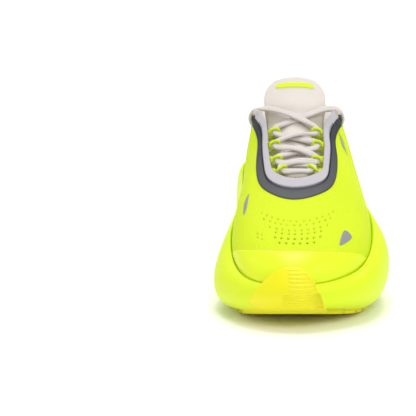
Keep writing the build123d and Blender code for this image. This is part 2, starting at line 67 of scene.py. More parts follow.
LOWER_HANDLE = [
    (0, 149, 56), (-35, 124, 56), (-41, 72, 52), (-40.5, 18, 60), (-44.5, -22, 55), (-49.5, -60, 52),
    (-50, -101, 47), (-38, -134, 46), (-8.5, -149.5, 50), (23, -138, 46), (46, -106, 47), (53, -62, 52),
    (52, -22, 55), (45, 18, 60), (42, 72, 52), (36, 124, 56),
]
FEATHER_LINE = [
    (0, 142, 34), (-29, 118, 34), (-35, 70, 32), (-37, 20, 29), (-42, -20, 26), (-46, -60, 24.5),
    (-42.5, -98, 24), (-33, -128, 24.5), (-8, -143.5, 26), (17, -131, 24.5), (37, -103, 24), (47, -62, 24.5),
    (46, -20, 26), (40, 20, 29), (36, 70, 32), (30, 118, 34),
]
TREAD_EDGE = [
    (0, 138), (-27, 125), (-35, 95), (-35, 55), (-38, -10), (-43, -60), (-41, -100), (-30, -125),
    (-8, -138), (12, -129), (32, -110), (44, -72), (45, -35), (42, 0), (38, 55), (37, 95), (27, 125),
]
WIDEST = [
    (0, 149.7, 40), (-32, 134, 44), (-42, 100, 48), (-41, 55, 46), (-46, -5, 41), (-58, -65, 22),
    (-54, -107, 21), (-34, -138, 22), (-8, -149.7, 23), (20, -140, 22), (46, -114, 21), (58.2, -72, 22),
    (57.6, -38, 30), (49, 0, 42), (43.5, 55, 46), (43.5, 100, 48), (33, 134, 44),
]
RIM = [
    (0, 146, 60), (-32, 122, 61), (-38, 90, 59), (-38.5, 55, 56), (-43, -15, 52), (-48.5, -65, 45.5),
    (-45.5, -102, 35), (-33, -132, 30), (-8, -146.5, 30), (19, -135, 30), (40, -110, 33.5), (49, -75, 43.5),
    (49.5, -45, 50), (46, 0, 53), (39.5, 55, 56), (39.5, 90, 59), (33, 122, 61),
]
DRAWN_BACK = [0, 0, 0, 0.1, 0.35, 0.5, 0.35, 0.1, 0, 0, 0, 0, 0, 0, 0, 0, 0]
BAND_WIDTH = [4, 4, 4, 5, 6.6, 7.5, 9.8, 12.8, 11.3, 12.8, 9.8, 7.5, 6.6, 5, 4, 4]
TRIM_WIDTH = [8, 8, 8, 11, 12.6, 15.5, 20.3, 23.5, 23.5, 23.5, 20.3, 15.5, 12.6, 11, 8, 8]
TREAD_FRONT, TREAD_BACK = -84.0, 98.0
TOE_SPRING, HEEL_BEVEL = 13.5, 7.0
EDGE_LIP, RUBBER, KNIT = 2.0, 3.2, 1.8
FOREFOOT_END, HEEL_START = 0.0, 42.0
LOOP_STATIONS = [6.74, 5.93, 5.17, 4.39]
LACE_IN, LACE_RISE, TURN_HALF, BAR_DROP = 4.7, 0.5, 3.5, 3.2
CORD_RUN = [7.0, 8.5, 9.5, 4.5]
LOOP_REACH = [8.4, 7.6, 7.6, 7.6]
LOOP_SHIFT = [-3.7, -0.4, 0.0, -1.2]
TONGUE_LINE = [
    (-61, 70.5), (-52, 76.5), (-38, 84), (-18, 93.5), (0, 102.5), (13, 111.5), (22, 123.0), (27, 131.5),
    (29.5, 136.8),
]
TONGUE_HALF = [15.0, 18.0, 21.0, 22.0, 21.5, 20.5, 22.5, 21.5, 14.0]
TONGUE_FALL = [4.0, 5.0, 6.0, 8.0, 9.0, 8.0, 6.0, 4.0, 1.0]
TONGUE_X = -2.5
STATIONS, SOLE_STATIONS = len(TOP_LINE), len(RIM)


# ---------------------------------------------------------------- curves and surfaces
def cubic(a, b, slope_a, slope_b, t):
    """The cubic from a to b, for t from 0 to 1, that has these slopes at its two ends."""
    value = a * (2 * t**3 - 3 * t**2 + 1) + b * (3 * t**2 - 2 * t**3)
    return value + slope_a * (t**3 - 2 * t**2 + t) + slope_b * (t**3 - t**2)


def run_length(points):
    """The distance along a line of points from its first point to each of them."""
    return np.concatenate([[0], np.cumsum(np.linalg.norm(np.diff(points, axis=0), axis=1))])


def row_lengths(rows):
    """The distance along each row of points from its first point to each of them."""
    steps = np.linalg.norm(np.diff(rows, axis=1), axis=2)
    return np.concatenate([np.zeros((len(rows), 1)), np.cumsum(steps, axis=1)], axis=1)


def closed_curve(points):
    """A closed cubic through the points, read by their numbers, whose second derivative is continuous."""
    p = np.array(points, float)
    n = len(p)
    system = 4 * np.eye(n) + np.roll(np.eye(n), 1, axis=1) + np.roll(np.eye(n), -1, axis=1)
    slope = np.linalg.solve(system, 3 * (np.roll(p, -1, axis=0) - np.roll(p, 1, axis=0)))

    def read(u):
        u = np.asarray(u, float) % n
        i = np.floor(u).astype(int) % n
        t = (u - np.floor(u))[..., None]
        j = (i + 1) % n
        return cubic(p[i], p[j], slope[i], slope[j], t)

    return read


def open_curve(points):
    """A cubic through the points, read from 0 to 1, whose slope at a point is its neighbours' difference."""
    p = np.array(points, float)
    n = len(p) - 1
    slope = np.gradient(p, axis=0)

    def read(s):
        s = np.clip(np.asarray(s, float), 0, 1) * n
        i = np.minimum(np.floor(s).astype(int), n - 1)
        t = (s - i)[..., None]
        return cubic(p[i], p[i + 1], slope[i], slope[i + 1], t)

    return read


top_line = closed_curve(TOP_LINE)
upper_handle = closed_curve(UPPER_HANDLE)
lower_handle = closed_curve(LOWER_HANDLE)
feather_line = closed_curve(FEATHER_LINE)
tread_plan = closed_curve(TREAD_EDGE)
widest = closed_curve(WIDEST)
rim = closed_curve(RIM)
drawn_back = closed_curve([(share,) for share in DRAWN_BACK])
band_width = closed_curve([(width,) for width in BAND_WIDTH])
trim_width = closed_curve([(width,) for width in TRIM_WIDTH])
tongue_line = open_curve(TONGUE_LINE)
tongue_shape = open_curve(list(zip(TONGUE_HALF, TONGUE_FALL)))


def ground(y):
    """The ground line in side view: flat, and rising to the toe and the heel as distance to the 1.5."""
    toe = np.clip((TREAD_FRONT - y) / 66, 0, None)
    heel = np.clip((y - TREAD_BACK) / 50, 0, None)
    return TOE_SPRING * toe**1.5 + HEEL_BEVEL * heel**1.5


def bezier(a, b, c, d, v):
    v = np.asarray(v, float)[..., None]
    return (1 - v) ** 3 * a + 3 * (1 - v) ** 2 * v * b + 3 * (1 - v) * v**2 * c + v**3 * d


def upper_point(u, v):
    """The upper's outer face: a cubic Bezier from the feather line, v = 0, to the top line, v = 1."""
    return bezier(feather_line(u), lower_handle(u), upper_handle(u), top_line(u), v)


def tread_edge(u):
    plan = tread_plan(u)
    return np.concatenate([plan, ground(plan[..., 1:]) + EDGE_LIP], axis=-1)


def sole_point(u, v):
    """The sole's side: a cubic Bezier from the tread's edge, v = 0, past the widest line to the rim, v = 1."""
    low, wide, high = tread_edge(u), widest(u), rim(u)
    bulge = (low + high) / 2 + (wide - (low + high) / 2) * 4 / 3
    back = drawn_back(u) * (bulge - high)
    under, over = bulge + back * 0.8, bulge - back
    under[..., 2] = low[..., 2] + (wide[..., 2] - low[..., 2]) * 0.25
    over[..., 2] = high[..., 2] - (high[..., 2] - wide[..., 2]) * 0.25
    return bezier(low, under, over, high, v)


def tongue_point(s, a):
    """The tongue's face: a line in side view, s from 0 to 1, that falls to both sides as a squared."""
    s, a = np.broadcast_arrays(np.asarray(s, float), np.asarray(a, float))
    line, shape = tongue_line(s), tongue_shape(s)
    x = TONGUE_X + a * shape[..., 0]
    return np.stack([x, line[..., 0], line[..., 1] - shape[..., 1] * a**2], axis=-1)


def normals(surface, u, v, step=1e-3):
    """A surface's unit normal: its way along u crossed with its way along v."""
    cross = np.cross(surface(u + step, v) - surface(u - step, v), surface(u, v + step) - surface(u, v - step))
    return cross / np.maximum(np.linalg.norm(cross, axis=-1, keepdims=True), 1e-12)


def lifted(surface, u, v, offset):
    """Points at an offset along the surface's normal."""
    u, v, offset = np.broadcast_arrays(np.asarray(u, float), np.asarray(v, float), np.asarray(offset, float))
    return surface(u, v) + normals(surface, u, v) * offset[..., None]


def down_from_top(u, distance):
    """The v that lies a distance below the top line, measured along the profile, at each station."""
    u, distance = np.broadcast_arrays(np.asarray(u, float), np.asarray(distance, float))
    v = np.linspace(1, 0, 101)
    line = upper_point(u.ravel()[:, None], np.broadcast_to(v, (u.size, 101)))
    found = [np.interp(d, row, v) for d, row in zip(distance.ravel(), row_lengths(line))]
    return np.array(found).reshape(u.shape)


def smooth(x):
    """0 below 0, 1 above 1, and a cubic step in between."""
    x = np.clip(x, 0, 1)
    return x * x * (3 - 2 * x)


def millimetre():
    """A millimetre in the frame's metres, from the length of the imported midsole."""
    u, v = np.linspace(0, SOLE_STATIONS, 400), np.linspace(0, 1, 21)
    span = np.ptp(sole_point(u[:, None], v[None, :])[..., 1])
    low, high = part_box("midsole")
    return (high[1] - low[1]) / span


MM = millimetre()


# ---------------------------------------------------------------- meshes from grids
def add_piece(name, vertices, faces, material, body="shoe", uv=None, replaces=(), slot=None):
    """A mesh object from points in millimetres and a list of face arrays; uv holds one pair for each vertex."""
    mesh = bpy.data.meshes.new(name)
    mesh.from_pydata((np.asarray(vertices) * MM).tolist(), [], [f for group in faces for f in group.tolist()])
    if uv is not None:
        layer = mesh.uv_layers.new(name="UVMap")
        corner = np.empty(len(mesh.loops), np.int32)
        mesh.loops.foreach_get("vertex_index", corner)
        layer.data.foreach_set("uv", np.asarray(uv, np.float32)[corner].ravel())
    mesh.polygons.foreach_set("use_smooth", np.ones(len(mesh.polygons), bool))
    mesh.update()
    piece = bpy.data.objects.new(name, mesh)
    bpy.context.scene.collection.objects.link(piece)
    mesh.materials.append(material)
    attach(piece, body)
    if replaces:
        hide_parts(*replaces)
    return piece


def dress(node, material):
    """Gives a CAD piece that stays visible its material."""
    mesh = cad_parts[node].data
    mesh.materials.clear()
    mesh.materials.append(material)


def grid_faces(rows, columns, wrap_rows=False, wrap_columns=False):
    """Quads over a grid of vertices, numbered along its columns first."""
    across = np.arange(rows if wrap_rows else rows - 1)
    along = np.arange(columns if wrap_columns else columns - 1)
    i, j = (part.ravel() for part in np.meshgrid(across, along, indexing="ij"))
    after_i, after_j = (i + 1) % rows, (j + 1) % columns
    corners = [i * columns + j, after_i * columns + j, after_i * columns + after_j, i * columns + after_j]
    return np.stack(corners, axis=1)


def flat_ring_faces(rings):
    """Faces of a closed strip of rings, each of which runs up one side of a layer and back down the other."""
    rows, around = rings.shape[:2]
    j = np.arange(around // 2 - 1)
    back = around - 1 - j
    last = (rows - 1) * around
    return [
        grid_faces(rows, around, wrap_columns=True),
        np.stack([j, j + 1, back - 1, back], axis=1),
        np.stack([last + back, last + back - 1, last + j + 1, last + j], axis=1),
    ]


def tube_mesh(rings):
    """Vertices and faces of a tube from rings of points (count, around, 3), each end closed by a centre fan."""
    count, around = rings.shape[:2]
    start, stop, last = count * around, count * around + 1, (count - 1) * around
    ends = np.array([rings[0].mean(axis=0), rings[-1].mean(axis=0)])
    vertices = np.concatenate([rings.reshape(-1, 3), ends])
    j = np.arange(around)
    after = (j + 1) % around
    faces = [
        grid_faces(count, around, wrap_columns=True),
        np.stack([np.full(around, start), j, after], axis=1),
        np.stack([np.full(around, stop), last + after, last + j], axis=1),
    ]
    return vertices, faces


def rounded_share(count, length, radius):
    """Shares of a length, from 0 to 1, that crowd where its ends are rounded."""
    near = radius / max(length, 3 * radius)
    ends = near * (1 - np.cos(np.linspace(0, np.pi / 2, 4)[:-1]))
    return np.concatenate([ends, np.linspace(near, 1 - near, count), (1 - ends)[::-1]])


def dome(distance, radius):
    """How high a rounded edge stands at a distance in from it: a quarter circle's height, as a share."""
    inside = np.clip(1 - distance / radius, 0, 1)
    return np.sqrt(1 - inside**2)


def layer_grid(surface, u, low, high, inside, outside, radius=0.5, count=16):
    """Closed rings of a thin layer on a surface, one ring for each u, and their texture coordinates.

    Each ring runs up the outer side and back down the inner one. The outer side's height falls to nothing at
    all four edges as a quarter circle.
    """
    u = np.asarray(u, float)
    low, high = np.broadcast_to(low, u.shape), np.broadcast_to(high, u.shape)
    middle = surface(u, (low + high) / 2)
    along = run_length(middle)
    width = np.linalg.norm(surface(u, high) - surface(u, low), axis=1)
    share = rounded_share(count, float(np.median(width)), radius)
    v = low[:, None] + (high - low)[:, None] * share[None, :]
    place = u[:, None] + 0 * v
    across = np.minimum(share, 1 - share)[None, :] * width[:, None]
    ends = np.minimum(along, along[-1] - along)[:, None]
    height = dome(across, radius) * dome(ends, radius)
    outer = lifted(surface, place, v, inside + (outside - inside) * height)
    inner = lifted(surface, place, v, inside)[:, ::-1]
    rings = np.concatenate([outer, inner], axis=1)
    s = np.broadcast_to(along[:, None], v.shape)
    t = share[None, :] * width[:, None]
    uv = np.stack([np.concatenate([s, s[:, ::-1]], 1), np.concatenate([t, t[:, ::-1]], 1)], axis=-1)
    return rings, uv


def add_layer(name, surface, u, low, high, inside, outside, material, radius=0.5, count=16, **options):
    """A closed thin piece on a surface; see layer_grid. The options are add_piece's."""
    rings, uv = layer_grid(surface, u, low, high, inside, outside, radius, count)
    faces = flat_ring_faces(rings)
    return add_piece(name, rings.reshape(-1, 3), faces, material, uv=uv.reshape(-1, 2) * 0.001, **options)


def curve_through(route, samples_per_run=10):
    """A quadratic B-spline with the route's points as its control points, read at even steps of length.

    Each span blends three neighbouring points with the weights (1-t)^2/2, 1/2 + t(1-t) and t^2/2; the end
    points are met by spans that start at the first point and stop at the last.
    """
    p = np.asarray(route, float)
    p = np.concatenate([2 * p[:1] - p[1:2], p, 2 * p[-1:] - p[-2:-1]])
    t = np.linspace(0, 1, samples_per_run, endpoint=False)[None, :, None]
    a, b, c = p[:-2, None], p[1:-1, None], p[2:, None]
    line = (a * (1 - t) ** 2 / 2 + b * (0.5 + t * (1 - t)) + c * t**2 / 2).reshape(-1, p.shape[1])
    start = samples_per_run // 2
    line = np.concatenate([line[start:], (p[-2:-1] + p[-1:]) / 2])
    line = line[: len(line) - samples_per_run // 2]
    xyz = line[:, :3]
    length = run_length(xyz)
    even = np.linspace(0, length[-1], len(line))
    return np.stack([np.interp(even, length, column) for column in line.T], axis=1), length[-1]


def sweep(line, up, wide, high, around=14, squareness=0.75):
    """Rings of an oval section along a line; up points out of the oval's flat side.

    The section is a superellipse: (cos^s, sin^s) times half its width and height.
    """
    tangent = np.gradient(line, axis=0)
    tangent /= np.linalg.norm(tangent, axis=1, keepdims=True)
    side = np.cross(tangent, up)
    side /= np.linalg.norm(side, axis=1, keepdims=True)
    top = np.cross(side, tangent)
    angle = np.linspace(0, 2 * np.pi, around, endpoint=False)
    c, s = np.cos(angle), np.sin(angle)
    x = np.sign(c) * np.abs(c) ** squareness
    y = np.sign(s) * np.abs(s) ** squareness
    wide, high = np.broadcast_to(wide, len(line)), np.broadcast_to(high, len(line))
    offset = side[:, None] * (x[None, :] * wide[:, None] / 2)[..., None]
    offset = offset + top[:, None] * (y[None, :] * high[:, None] / 2)[..., None]
    return line[:, None] + offset


def sweep_uv(rings, girth):
    """Texture coordinates of a swept piece in metres: along it, and round its girth."""
    middle = rings.mean(axis=1)
    along = run_length(middle)
    s = np.broadcast_to(along[:, None], rings.shape[:2])
    t = np.broadcast_to(np.linspace(0, girth, rings.shape[1])[None, :], rings.shape[:2])
    return np.stack([s, t], axis=-1).reshape(-1, 2) * 0.001


# ---------------------------------------------------------------- materials
def linear(color):
    """An sRGB colour, 0 to 255, as the linear values that the shader takes."""
    c = np.array(color, float) / 255
    return (*np.where(c <= 0.04045, c / 12.92, ((c + 0.055) / 1.055) ** 2.4).tolist(), 1.0)


class Nodes:
    """A short way to add and link shader nodes in one tree."""

    def __init__(self, tree):
        self.tree = tree

    def add(self, kind, inputs=(), **settings):
        node = self.tree.nodes.new(kind)
        for key, value in settings.items():
            setattr(node, key, value)
        for key, value in dict(inputs).items():
            self.put(value, node.inputs[key])
        return node

    def put(self, value, socket):
        if isinstance(value, bpy.types.NodeSocket):
            self.tree.links.new(value, socket)
        else:
            socket.default_value = value

    def math(self, operation, a, b=0.0, c=0.0):
        return self.add("ShaderNodeMath", {0: a, 1: b, 2: c}, operation=operation).outputs[0]

    def mix(self, share, a, b):
        node = self.add("ShaderNodeMix", data_type="RGBA")
        for value, socket in ((share, node.inputs[0]), (a, node.inputs[6]), (b, node.inputs[7])):
            self.put(value, socket)
        return node.outputs[2]


def group(name, inputs, outputs, fill):
    """A shader node group with named sockets, made once; fill(nodes, input sockets) returns its outputs."""
    tree = bpy.data.node_groups.get(name)
    if tree:
        return tree
    tree = bpy.data.node_groups.new(name, "ShaderNodeTree")
    for label, kind, default in inputs:
        socket = tree.interface.new_socket(name=label, in_out="INPUT", socket_type=kind)
        if default is not None:
            socket.default_value = default
    for label, kind in outputs:
        tree.interface.new_socket(name=label, in_out="OUTPUT", socket_type=kind)
    nodes = Nodes(tree)
    entry = nodes.add("NodeGroupInput")
    leave = nodes.add("NodeGroupOutput")
    results = fill(nodes, {label: entry.outputs[label] for label, _, _ in inputs})
    for label, value in results.items():
        nodes.put(value, leave.inputs[label])
    return tree


def mottle_group():
    """Slow and fine colour change, from two sizes of noise on Object coordinates."""

    def fill(n, i):
        place = n.add("ShaderNodeTexCoord").outputs["Object"]
        broad = n.add("ShaderNodeTexNoise", {"Vector": place, "Scale": i["Broad"], "Detail": 3.0})
        fine = n.add("ShaderNodeTexNoise", {"Vector": place, "Scale": i["Fine"], "Detail": 4.0})
        broad, fine = broad.outputs["Fac"], fine.outputs["Fac"]
        both = n.math("ADD", n.math("MULTIPLY", broad, 0.65), n.math("MULTIPLY", fine, 0.35))
        share = n.math("MULTIPLY", n.math("SUBTRACT", both, 0.36), n.math("MULTIPLY", i["Amount"], 3.0))
        share = n.add("ShaderNodeClamp", {"Value": share}).outputs[0]
        return {"Color": n.mix(share, i["Color"], i["Shade"]), "Height": fine}

    return group(
        "Mottle",
        [
            ("Color", "NodeSocketColor", None), ("Shade", "NodeSocketColor", None),
            ("Broad", "NodeSocketFloat", 18.0), ("Fine", "NodeSocketFloat", 400.0),
            ("Amount", "NodeSocketFloat", 1.0),
        ],
        [("Color", "NodeSocketColor"), ("Height", "NodeSocketFloat")],
        fill,
    )


def weave_group():
    """A plain weave on the UV map: two crossed sets of rounded threads, one over the other by turns."""

    def fill(n, i):
        uv = n.add("ShaderNodeSeparateXYZ", {0: n.add("ShaderNodeTexCoord").outputs["UV"]})
        x = n.math("DIVIDE", uv.outputs[0], i["Pitch"])
        y = n.math("DIVIDE", uv.outputs[1], i["Pitch"])
        threads = [n.math("ABSOLUTE", n.math("SINE", n.math("MULTIPLY", value, np.pi))) for value in (x, y)]
        over = n.math("ADD", n.math("FLOOR", x), n.math("FLOOR", y))
        over = n.math("MODULO", n.math("ABSOLUTE", over), 2.0)
        first = n.math("MULTIPLY", threads[0], n.math("SUBTRACT", 1.0, over))
        second = n.math("MULTIPLY", threads[1], over)
        return {"Height": n.math("ADD", first, second)}

    return group("Plain weave", [("Pitch", "NodeSocketFloat", 0.0006)], [("Height", "NodeSocketFloat")], fill)


def ribs_group():
    """Knit ribs on the UV map: rounded wales along V, each broken into short stitches."""

    def fill(n, i):
        uv = n.add("ShaderNodeSeparateXYZ", {0: n.add("ShaderNodeTexCoord").outputs["UV"]})
        x = n.math("DIVIDE", uv.outputs[0], i["Pitch"])
        rib = n.math("ABSOLUTE", n.math("SINE", n.math("MULTIPLY", x, np.pi)))
        rib = n.math("POWER", rib, 0.6)
        lean = n.math("MULTIPLY", n.math("ABSOLUTE", n.math("SUBTRACT", n.math("FRACT", x), 0.5)), 1.2)
        y = n.math("ADD", n.math("DIVIDE", uv.outputs[1], i["Stitch"]), lean)
        stitch = n.math("ABSOLUTE", n.math("SINE", n.math("MULTIPLY", y, np.pi)))
        stitch = n.math("POWER", stitch, 0.5)
        height = n.math("ADD", n.math("MULTIPLY", rib, 0.7), n.math("MULTIPLY", stitch, i["Depth"]))
        return {"Height": height, "Rib": rib}

    return group(
        "Knit ribs",
        [
            ("Pitch", "NodeSocketFloat", 0.0013), ("Stitch", "NodeSocketFloat", 0.001),
            ("Depth", "NodeSocketFloat", 0.3),
        ],
        [("Height", "NodeSocketFloat"), ("Rib", "NodeSocketFloat")],
        fill,
    )


def tinted(key, factor=(1, 1, 1)):
    """One of the shoe's colours, times a factor for each channel."""
    return tuple(c * f for c, f in zip(getattr(bpy.context.scene.shoe_colors, key), (*factor, 1)))


def finish_material(
    name, key, shade, amount, roughness, build_height=None, bump=0.2, distance=0.0003, **shader
):
    """A material: mottled colour, a bump from build_height or fine noise, and the shader's own constants."""
    material = bpy.data.materials.get(name)
    if material:
        return material
    material = bpy.data.materials.new(name)
    material.use_nodes = True
    material.diffuse_color = tinted(key)
    nodes = Nodes(material.node_tree)
    principled = material.node_tree.nodes["Principled BSDF"]
    settings = {"Color": tinted(key), "Shade": tinted(key, shade), "Amount": amount}
    settings |= {"Broad": shader.pop("broad", 18.0), "Fine": shader.pop("fine", 500.0)}
    mottle = nodes.add("ShaderNodeGroup", settings, node_tree=mottle_group())
    tint, height = mottle.outputs["Color"], mottle.outputs["Height"]
    if build_height:
        tint, height = build_height(nodes, tint, height)
    nodes.put(tint, principled.inputs["Base Color"])
    spread = {"From Min": 0.3, "From Max": 0.7, "To Min": roughness - 0.06, "To Max": roughness + 0.06}
    rough = nodes.add("ShaderNodeMapRange", {"Value": mottle.outputs["Height"], **spread})
    nodes.put(rough.outputs[0], principled.inputs["Roughness"])
    relief = nodes.add("ShaderNodeBump", {"Height": height, "Strength": bump, "Distance": distance})
    nodes.put(relief.outputs[0], principled.inputs["Normal"])
    for socket, value in shader.items():
        principled.inputs[socket.replace("_", " ").title()].default_value = value
    return material


def woven(pitch, dark=0.75):
    """A weave's relief, with painted shade darkening the gaps between its threads."""

    def build(n, tint, _):
        weave = n.add("ShaderNodeGroup", node_tree=weave_group())
        weave.inputs["Pitch"].default_value = pitch
        height = weave.outputs["Height"]
        # The gap colour is painted shade, mixed in where the threads' relief is low.
        gap = n.mix(1.0, tint, (dark, dark, dark, 1.0))
        gap.node.blend_type = "MULTIPLY"
        return n.mix(height, gap, tint), height

    return build


def ribbed(pitch, stitch, depth, dark=0.8):
    """Knit ribs, with painted shade darkening the gaps between them."""

    def build(n, tint, _):
        ribs = n.add("ShaderNodeGroup", node_tree=ribs_group())
        for key, value in (("Pitch", pitch), ("Stitch", stitch), ("Depth", depth)):
            ribs.inputs[key].default_value = value
        # The gap colour is painted shade, mixed in between the ribs where the relief is low.
        gap = n.mix(1.0, tint, (dark, dark, dark, 1.0))
        gap.node.blend_type = "MULTIPLY"
        return n.mix(ribs.outputs["Rib"], gap, tint), ribs.outputs["Height"]

    return build


LIME, SOFT = (0.82, 0.92, 1), (0.84, 0.84, 0.84)  # how the two sorts of colour darken


def knit_material():
    pitch = bpy.context.scene.shoe_sizes.rib_pitch
    ribs = ribbed(pitch, 0.0011, 0.35, 0.8)
    return finish_material("Knit", "knit", LIME, 0.5, 0.8, ribs, bump=0.6, distance=0.0004)


def foam_material():
    return finish_material("Foam", "foam", LIME, 0.35, 0.5, bump=0.08, fine=900.0)


def toe_film_material():
    return finish_material("Toe film", "film", LIME, 0.35, 0.42, bump=0.05, fine=1200.0)


def bumper_material():
    return finish_material("Toe rubber", "rubber", SOFT, 0.3, 0.4, bump=0.06, fine=900.0)


def tread_material():
    return finish_material("Tread rubber", "rubber", SOFT, 0.8, 0.6, bump=0.15, fine=1500.0)


def overlay_material():
    return finish_material("Overlay film", "overlay", SOFT, 0.6, 0.5, bump=0.12, fine=1600.0)


def band_material():
    return finish_material("Eyestay band", "band", SOFT, 0.6, 0.8, woven(0.0005, 0.8), bump=0.35)


def tongue_material():
    return finish_material(
        "Tongue microfibre", "textile", SOFT, 0.4, 0.75, bump=0.2, fine=1800.0, sheen_weight=0.2
    )


def lining_material():
    return finish_material("Lining", "textile", SOFT, 0.6, 0.85, woven(0.0009, 0.7), bump=0.4)


def lace_material():
    return finish_material("Lace", "lace", SOFT, 0.5, 0.8, ribbed(0.0011, 0.0007, 0.6, 0.75), bump=0.6)


def cord_material():
    return finish_material("Loop cord", "knit", LIME, 0.4, 0.6, ribbed(0.0012, 0.0012, 0.8, 0.7), bump=0.6)


# Dark stitch thread; the same material paints the shade behind the vents and inside the tongue's perforations.
def thread_and_painted_shade_material():
    return finish_material("Stitch thread", "thread", SOFT, 0.5, 0.6, bump=0.3, fine=3000.0)


def reflective_material():
    return finish_material(
        "Reflective film", "reflective", SOFT, 0.6, 0.45, bump=0.1, fine=4000.0, metallic=0.3
    )


def heel_material():
    return finish_material("Heel textile", "textile", SOFT, 0.5, 0.8, woven(0.0008, 0.78), bump=0.35)


def footbed_material():
    return finish_material("Footbed textile", "textile", SOFT, 0.9, 0.9, woven(0.0007, 0.75), bump=0.3)


def board_material():
    return finish_material("Lasting board", "textile", SOFT, 1.0, 0.9, bump=0.3, fine=900.0)


def badge_material():
    return finish_material("Badge print", "knit", LIME, 0.2, 0.5, bump=0.1, fine=2500.0)


def aglet_material():
    return finish_material("Aglet", "lace", SOFT, 0.3, 0.25, bump=0.05, fine=900.0)


# ---------------------------------------------------------------- the sole
def nearest_on_upper(points):
    """The (u, v) on the upper nearest to each point of a ring, evened along the ring."""
    u, v = np.linspace(0, STATIONS, 960, endpoint=False), np.linspace(0, 0.6, 121)
    table = upper_point(u[:, None], v[None, :]).reshape(-1, 3)
    parts = np.array_split(points, 24)
    found = np.concatenate([((part[:, None] - table[None]) ** 2).sum(-1).argmin(1) for part in parts])
    place = np.stack([u[found // len(v)], v[found % len(v)]], axis=1)
    place[:, 0] = np.unwrap(place[:, 0] * 2 * np.pi / STATIONS) * STATIONS / (2 * np.pi)
    kernel = np.hanning(9)[1:-1]
    kernel /= kernel.sum()
    wrapped = np.concatenate([place[-3:] - [STATIONS, 0], place, place[:3] + [STATIONS, 0]])
    return np.stack([np.convolve(column, kernel, "valid") for column in wrapped.T], axis=1)


def foam_floor(y):
    """The underside of the foam: above the rubber, and down on the ground at the bare arch."""
    arch = smooth((y - FOREFOOT_END) / 0.6) * smooth((HEEL_START - y) / 0.6)
    return ground(y) + (RUBBER + 0.1) * (1 - arch) + 0.05 * arch


def turned_solid(name, rings, material, **options):
    """A closed solid from rings (around, profile, 3), closed at both ends of the profile by a centre fan."""
    around, profile = rings.shape[:2]
    poles = np.array([rings[:, 0].mean(axis=0), rings[:, -1].mean(axis=0)])
    vertices = np.concatenate([rings.reshape(-1, 3), poles])
    i = np.arange(around)
    after = (i + 1) % around
    start, stop = around * profile, around * profile + 1
    faces = [
        grid_faces(around, profile, wrap_rows=True),
        np.stack([np.full(around, start), after * profile, i * profile], axis=1),
        np.stack([i * profile + profile - 1, after * profile + profile - 1, np.full(around, stop)], axis=1),
    ]
    return add_piece(name, vertices, faces, material, **options)


def build_midsole():
    """Rings from the underside's middle to the tread's edge, up the side, over the rim and into the cup."""
    u = np.linspace(0, SOLE_STATIONS, SOLE_STATIONS * 24, endpoint=False)
    edge = sole_point(u, 0 * u)
    under = [edge * share for share in np.linspace(0.02, 1, 26)]
    v = np.concatenate([np.linspace(0.01, 0.2, 9), np.linspace(0.23, 1, 26)])
    side = [sole_point(u, np.full_like(u, value)) for value in v]
    for ring in under:
        ring[:, 2] = foam_floor(ring[:, 1])
    for ring in side:
        ring[:, 2] = np.maximum(ring[:, 2], foam_floor(ring[:, 1]))
    top = side[-1]
    place = nearest_on_upper(top)
    wall = lifted(upper_point, place[:, 0], np.maximum(place[:, 1] - 0.015, 0.02), 0.12)
    gap = np.linalg.norm(wall - top, axis=1, keepdims=True)
    over = []
    for share in np.linspace(0.08, 0.92, 8):
        ring = top + (wall - top) * share
        ring[:, 2] += np.minimum(0.5 * gap[:, 0], 1.7) * np.sqrt(np.sin(np.pi * share)) - 0.9 * share
        over.append(ring)
    inner = [lifted(upper_point, place[:, 0], place[:, 1] * share, 0.1) for share in (0.9, 0.6, 0.3, 0.02)]
    bottom = inner[-1]
    floor = []
    for share in (0.75, 0.5, 0.25, 0.02):
        ring = bottom * share
        ring[:, 2] = bottom[:, 2] - 0.3
        floor.append(ring)
    rings = np.stack([*under, *side, *over, *inner, *floor], axis=1)
    turned_solid("foam_midsole", rings, foam_material(), replaces=["midsole"], slot="foam")


def bumper_profile(u, w):
    """The toe from the tread's edge, w = 0, over the foam and the rim to the cap, w = 1, as one smooth line."""
    foam = [sole_point(u, np.full_like(u, v)) for v in (0.02, 0.2, 0.4, 0.6, 0.8)]
    cap = [upper_point(u, np.full_like(u, v)) for v in (0.14, 0.2, 0.27, 0.36, 0.45)]
    cap = [point + normals(upper_point, u, np.full_like(u, 0.2)) * 0.8 for point in cap]
    knots = np.stack([*foam, *cap])
    for _ in range(2):
        knots[1:-1] = knots[1:-1] * 0.5 + (knots[:-2] + knots[2:]) * 0.25
    n = len(knots) - 1
    s = np.clip(np.asarray(w, float), 0, 1) * n
    i = np.minimum(np.floor(s).astype(int), n - 1)
    t = (s - i)[..., None]
    slope = np.gradient(knots, axis=0)
    column = np.broadcast_to(np.arange(len(u))[:, None], i.shape)
    return cubic(knots[i, column], knots[i + 1, column], slope[i, column], slope[i + 1, column], t)


BELL = [
    (-43, 4), (-37, 14), (-31, 25.5), (-25, 33), (-19, 38.3), (-12, 41), (-5, 41.4), (0.5, 39.2), (5.5, 33.5),
    (10, 25), (13.5, 16), (17, 5),
]


# Two fields of ridges: their ends across and up the shoe, then the ridges' pitch and height.
UPPER_RIDGES = (-10.5, 8.0, 26, 40.0, 2.3, 0.75)
LOWER_RIDGES = (-14.5, 13.0, 15.5, 26.5, 1.45, 0.7)


def ridge_field(x, z, left, right, bottom, top, pitch, height):
    """Level ridges whose height fades out within a little of the field's edges."""
    across = smooth((x - left) / 1.5) * smooth((right - x) / 1.5)
    field = across * smooth((z - bottom) / 1.0) * smooth((top - z) / 1.0)
    return height * field * np.clip(np.sin(2 * np.pi * z / pitch), 0, 1) ** 0.7


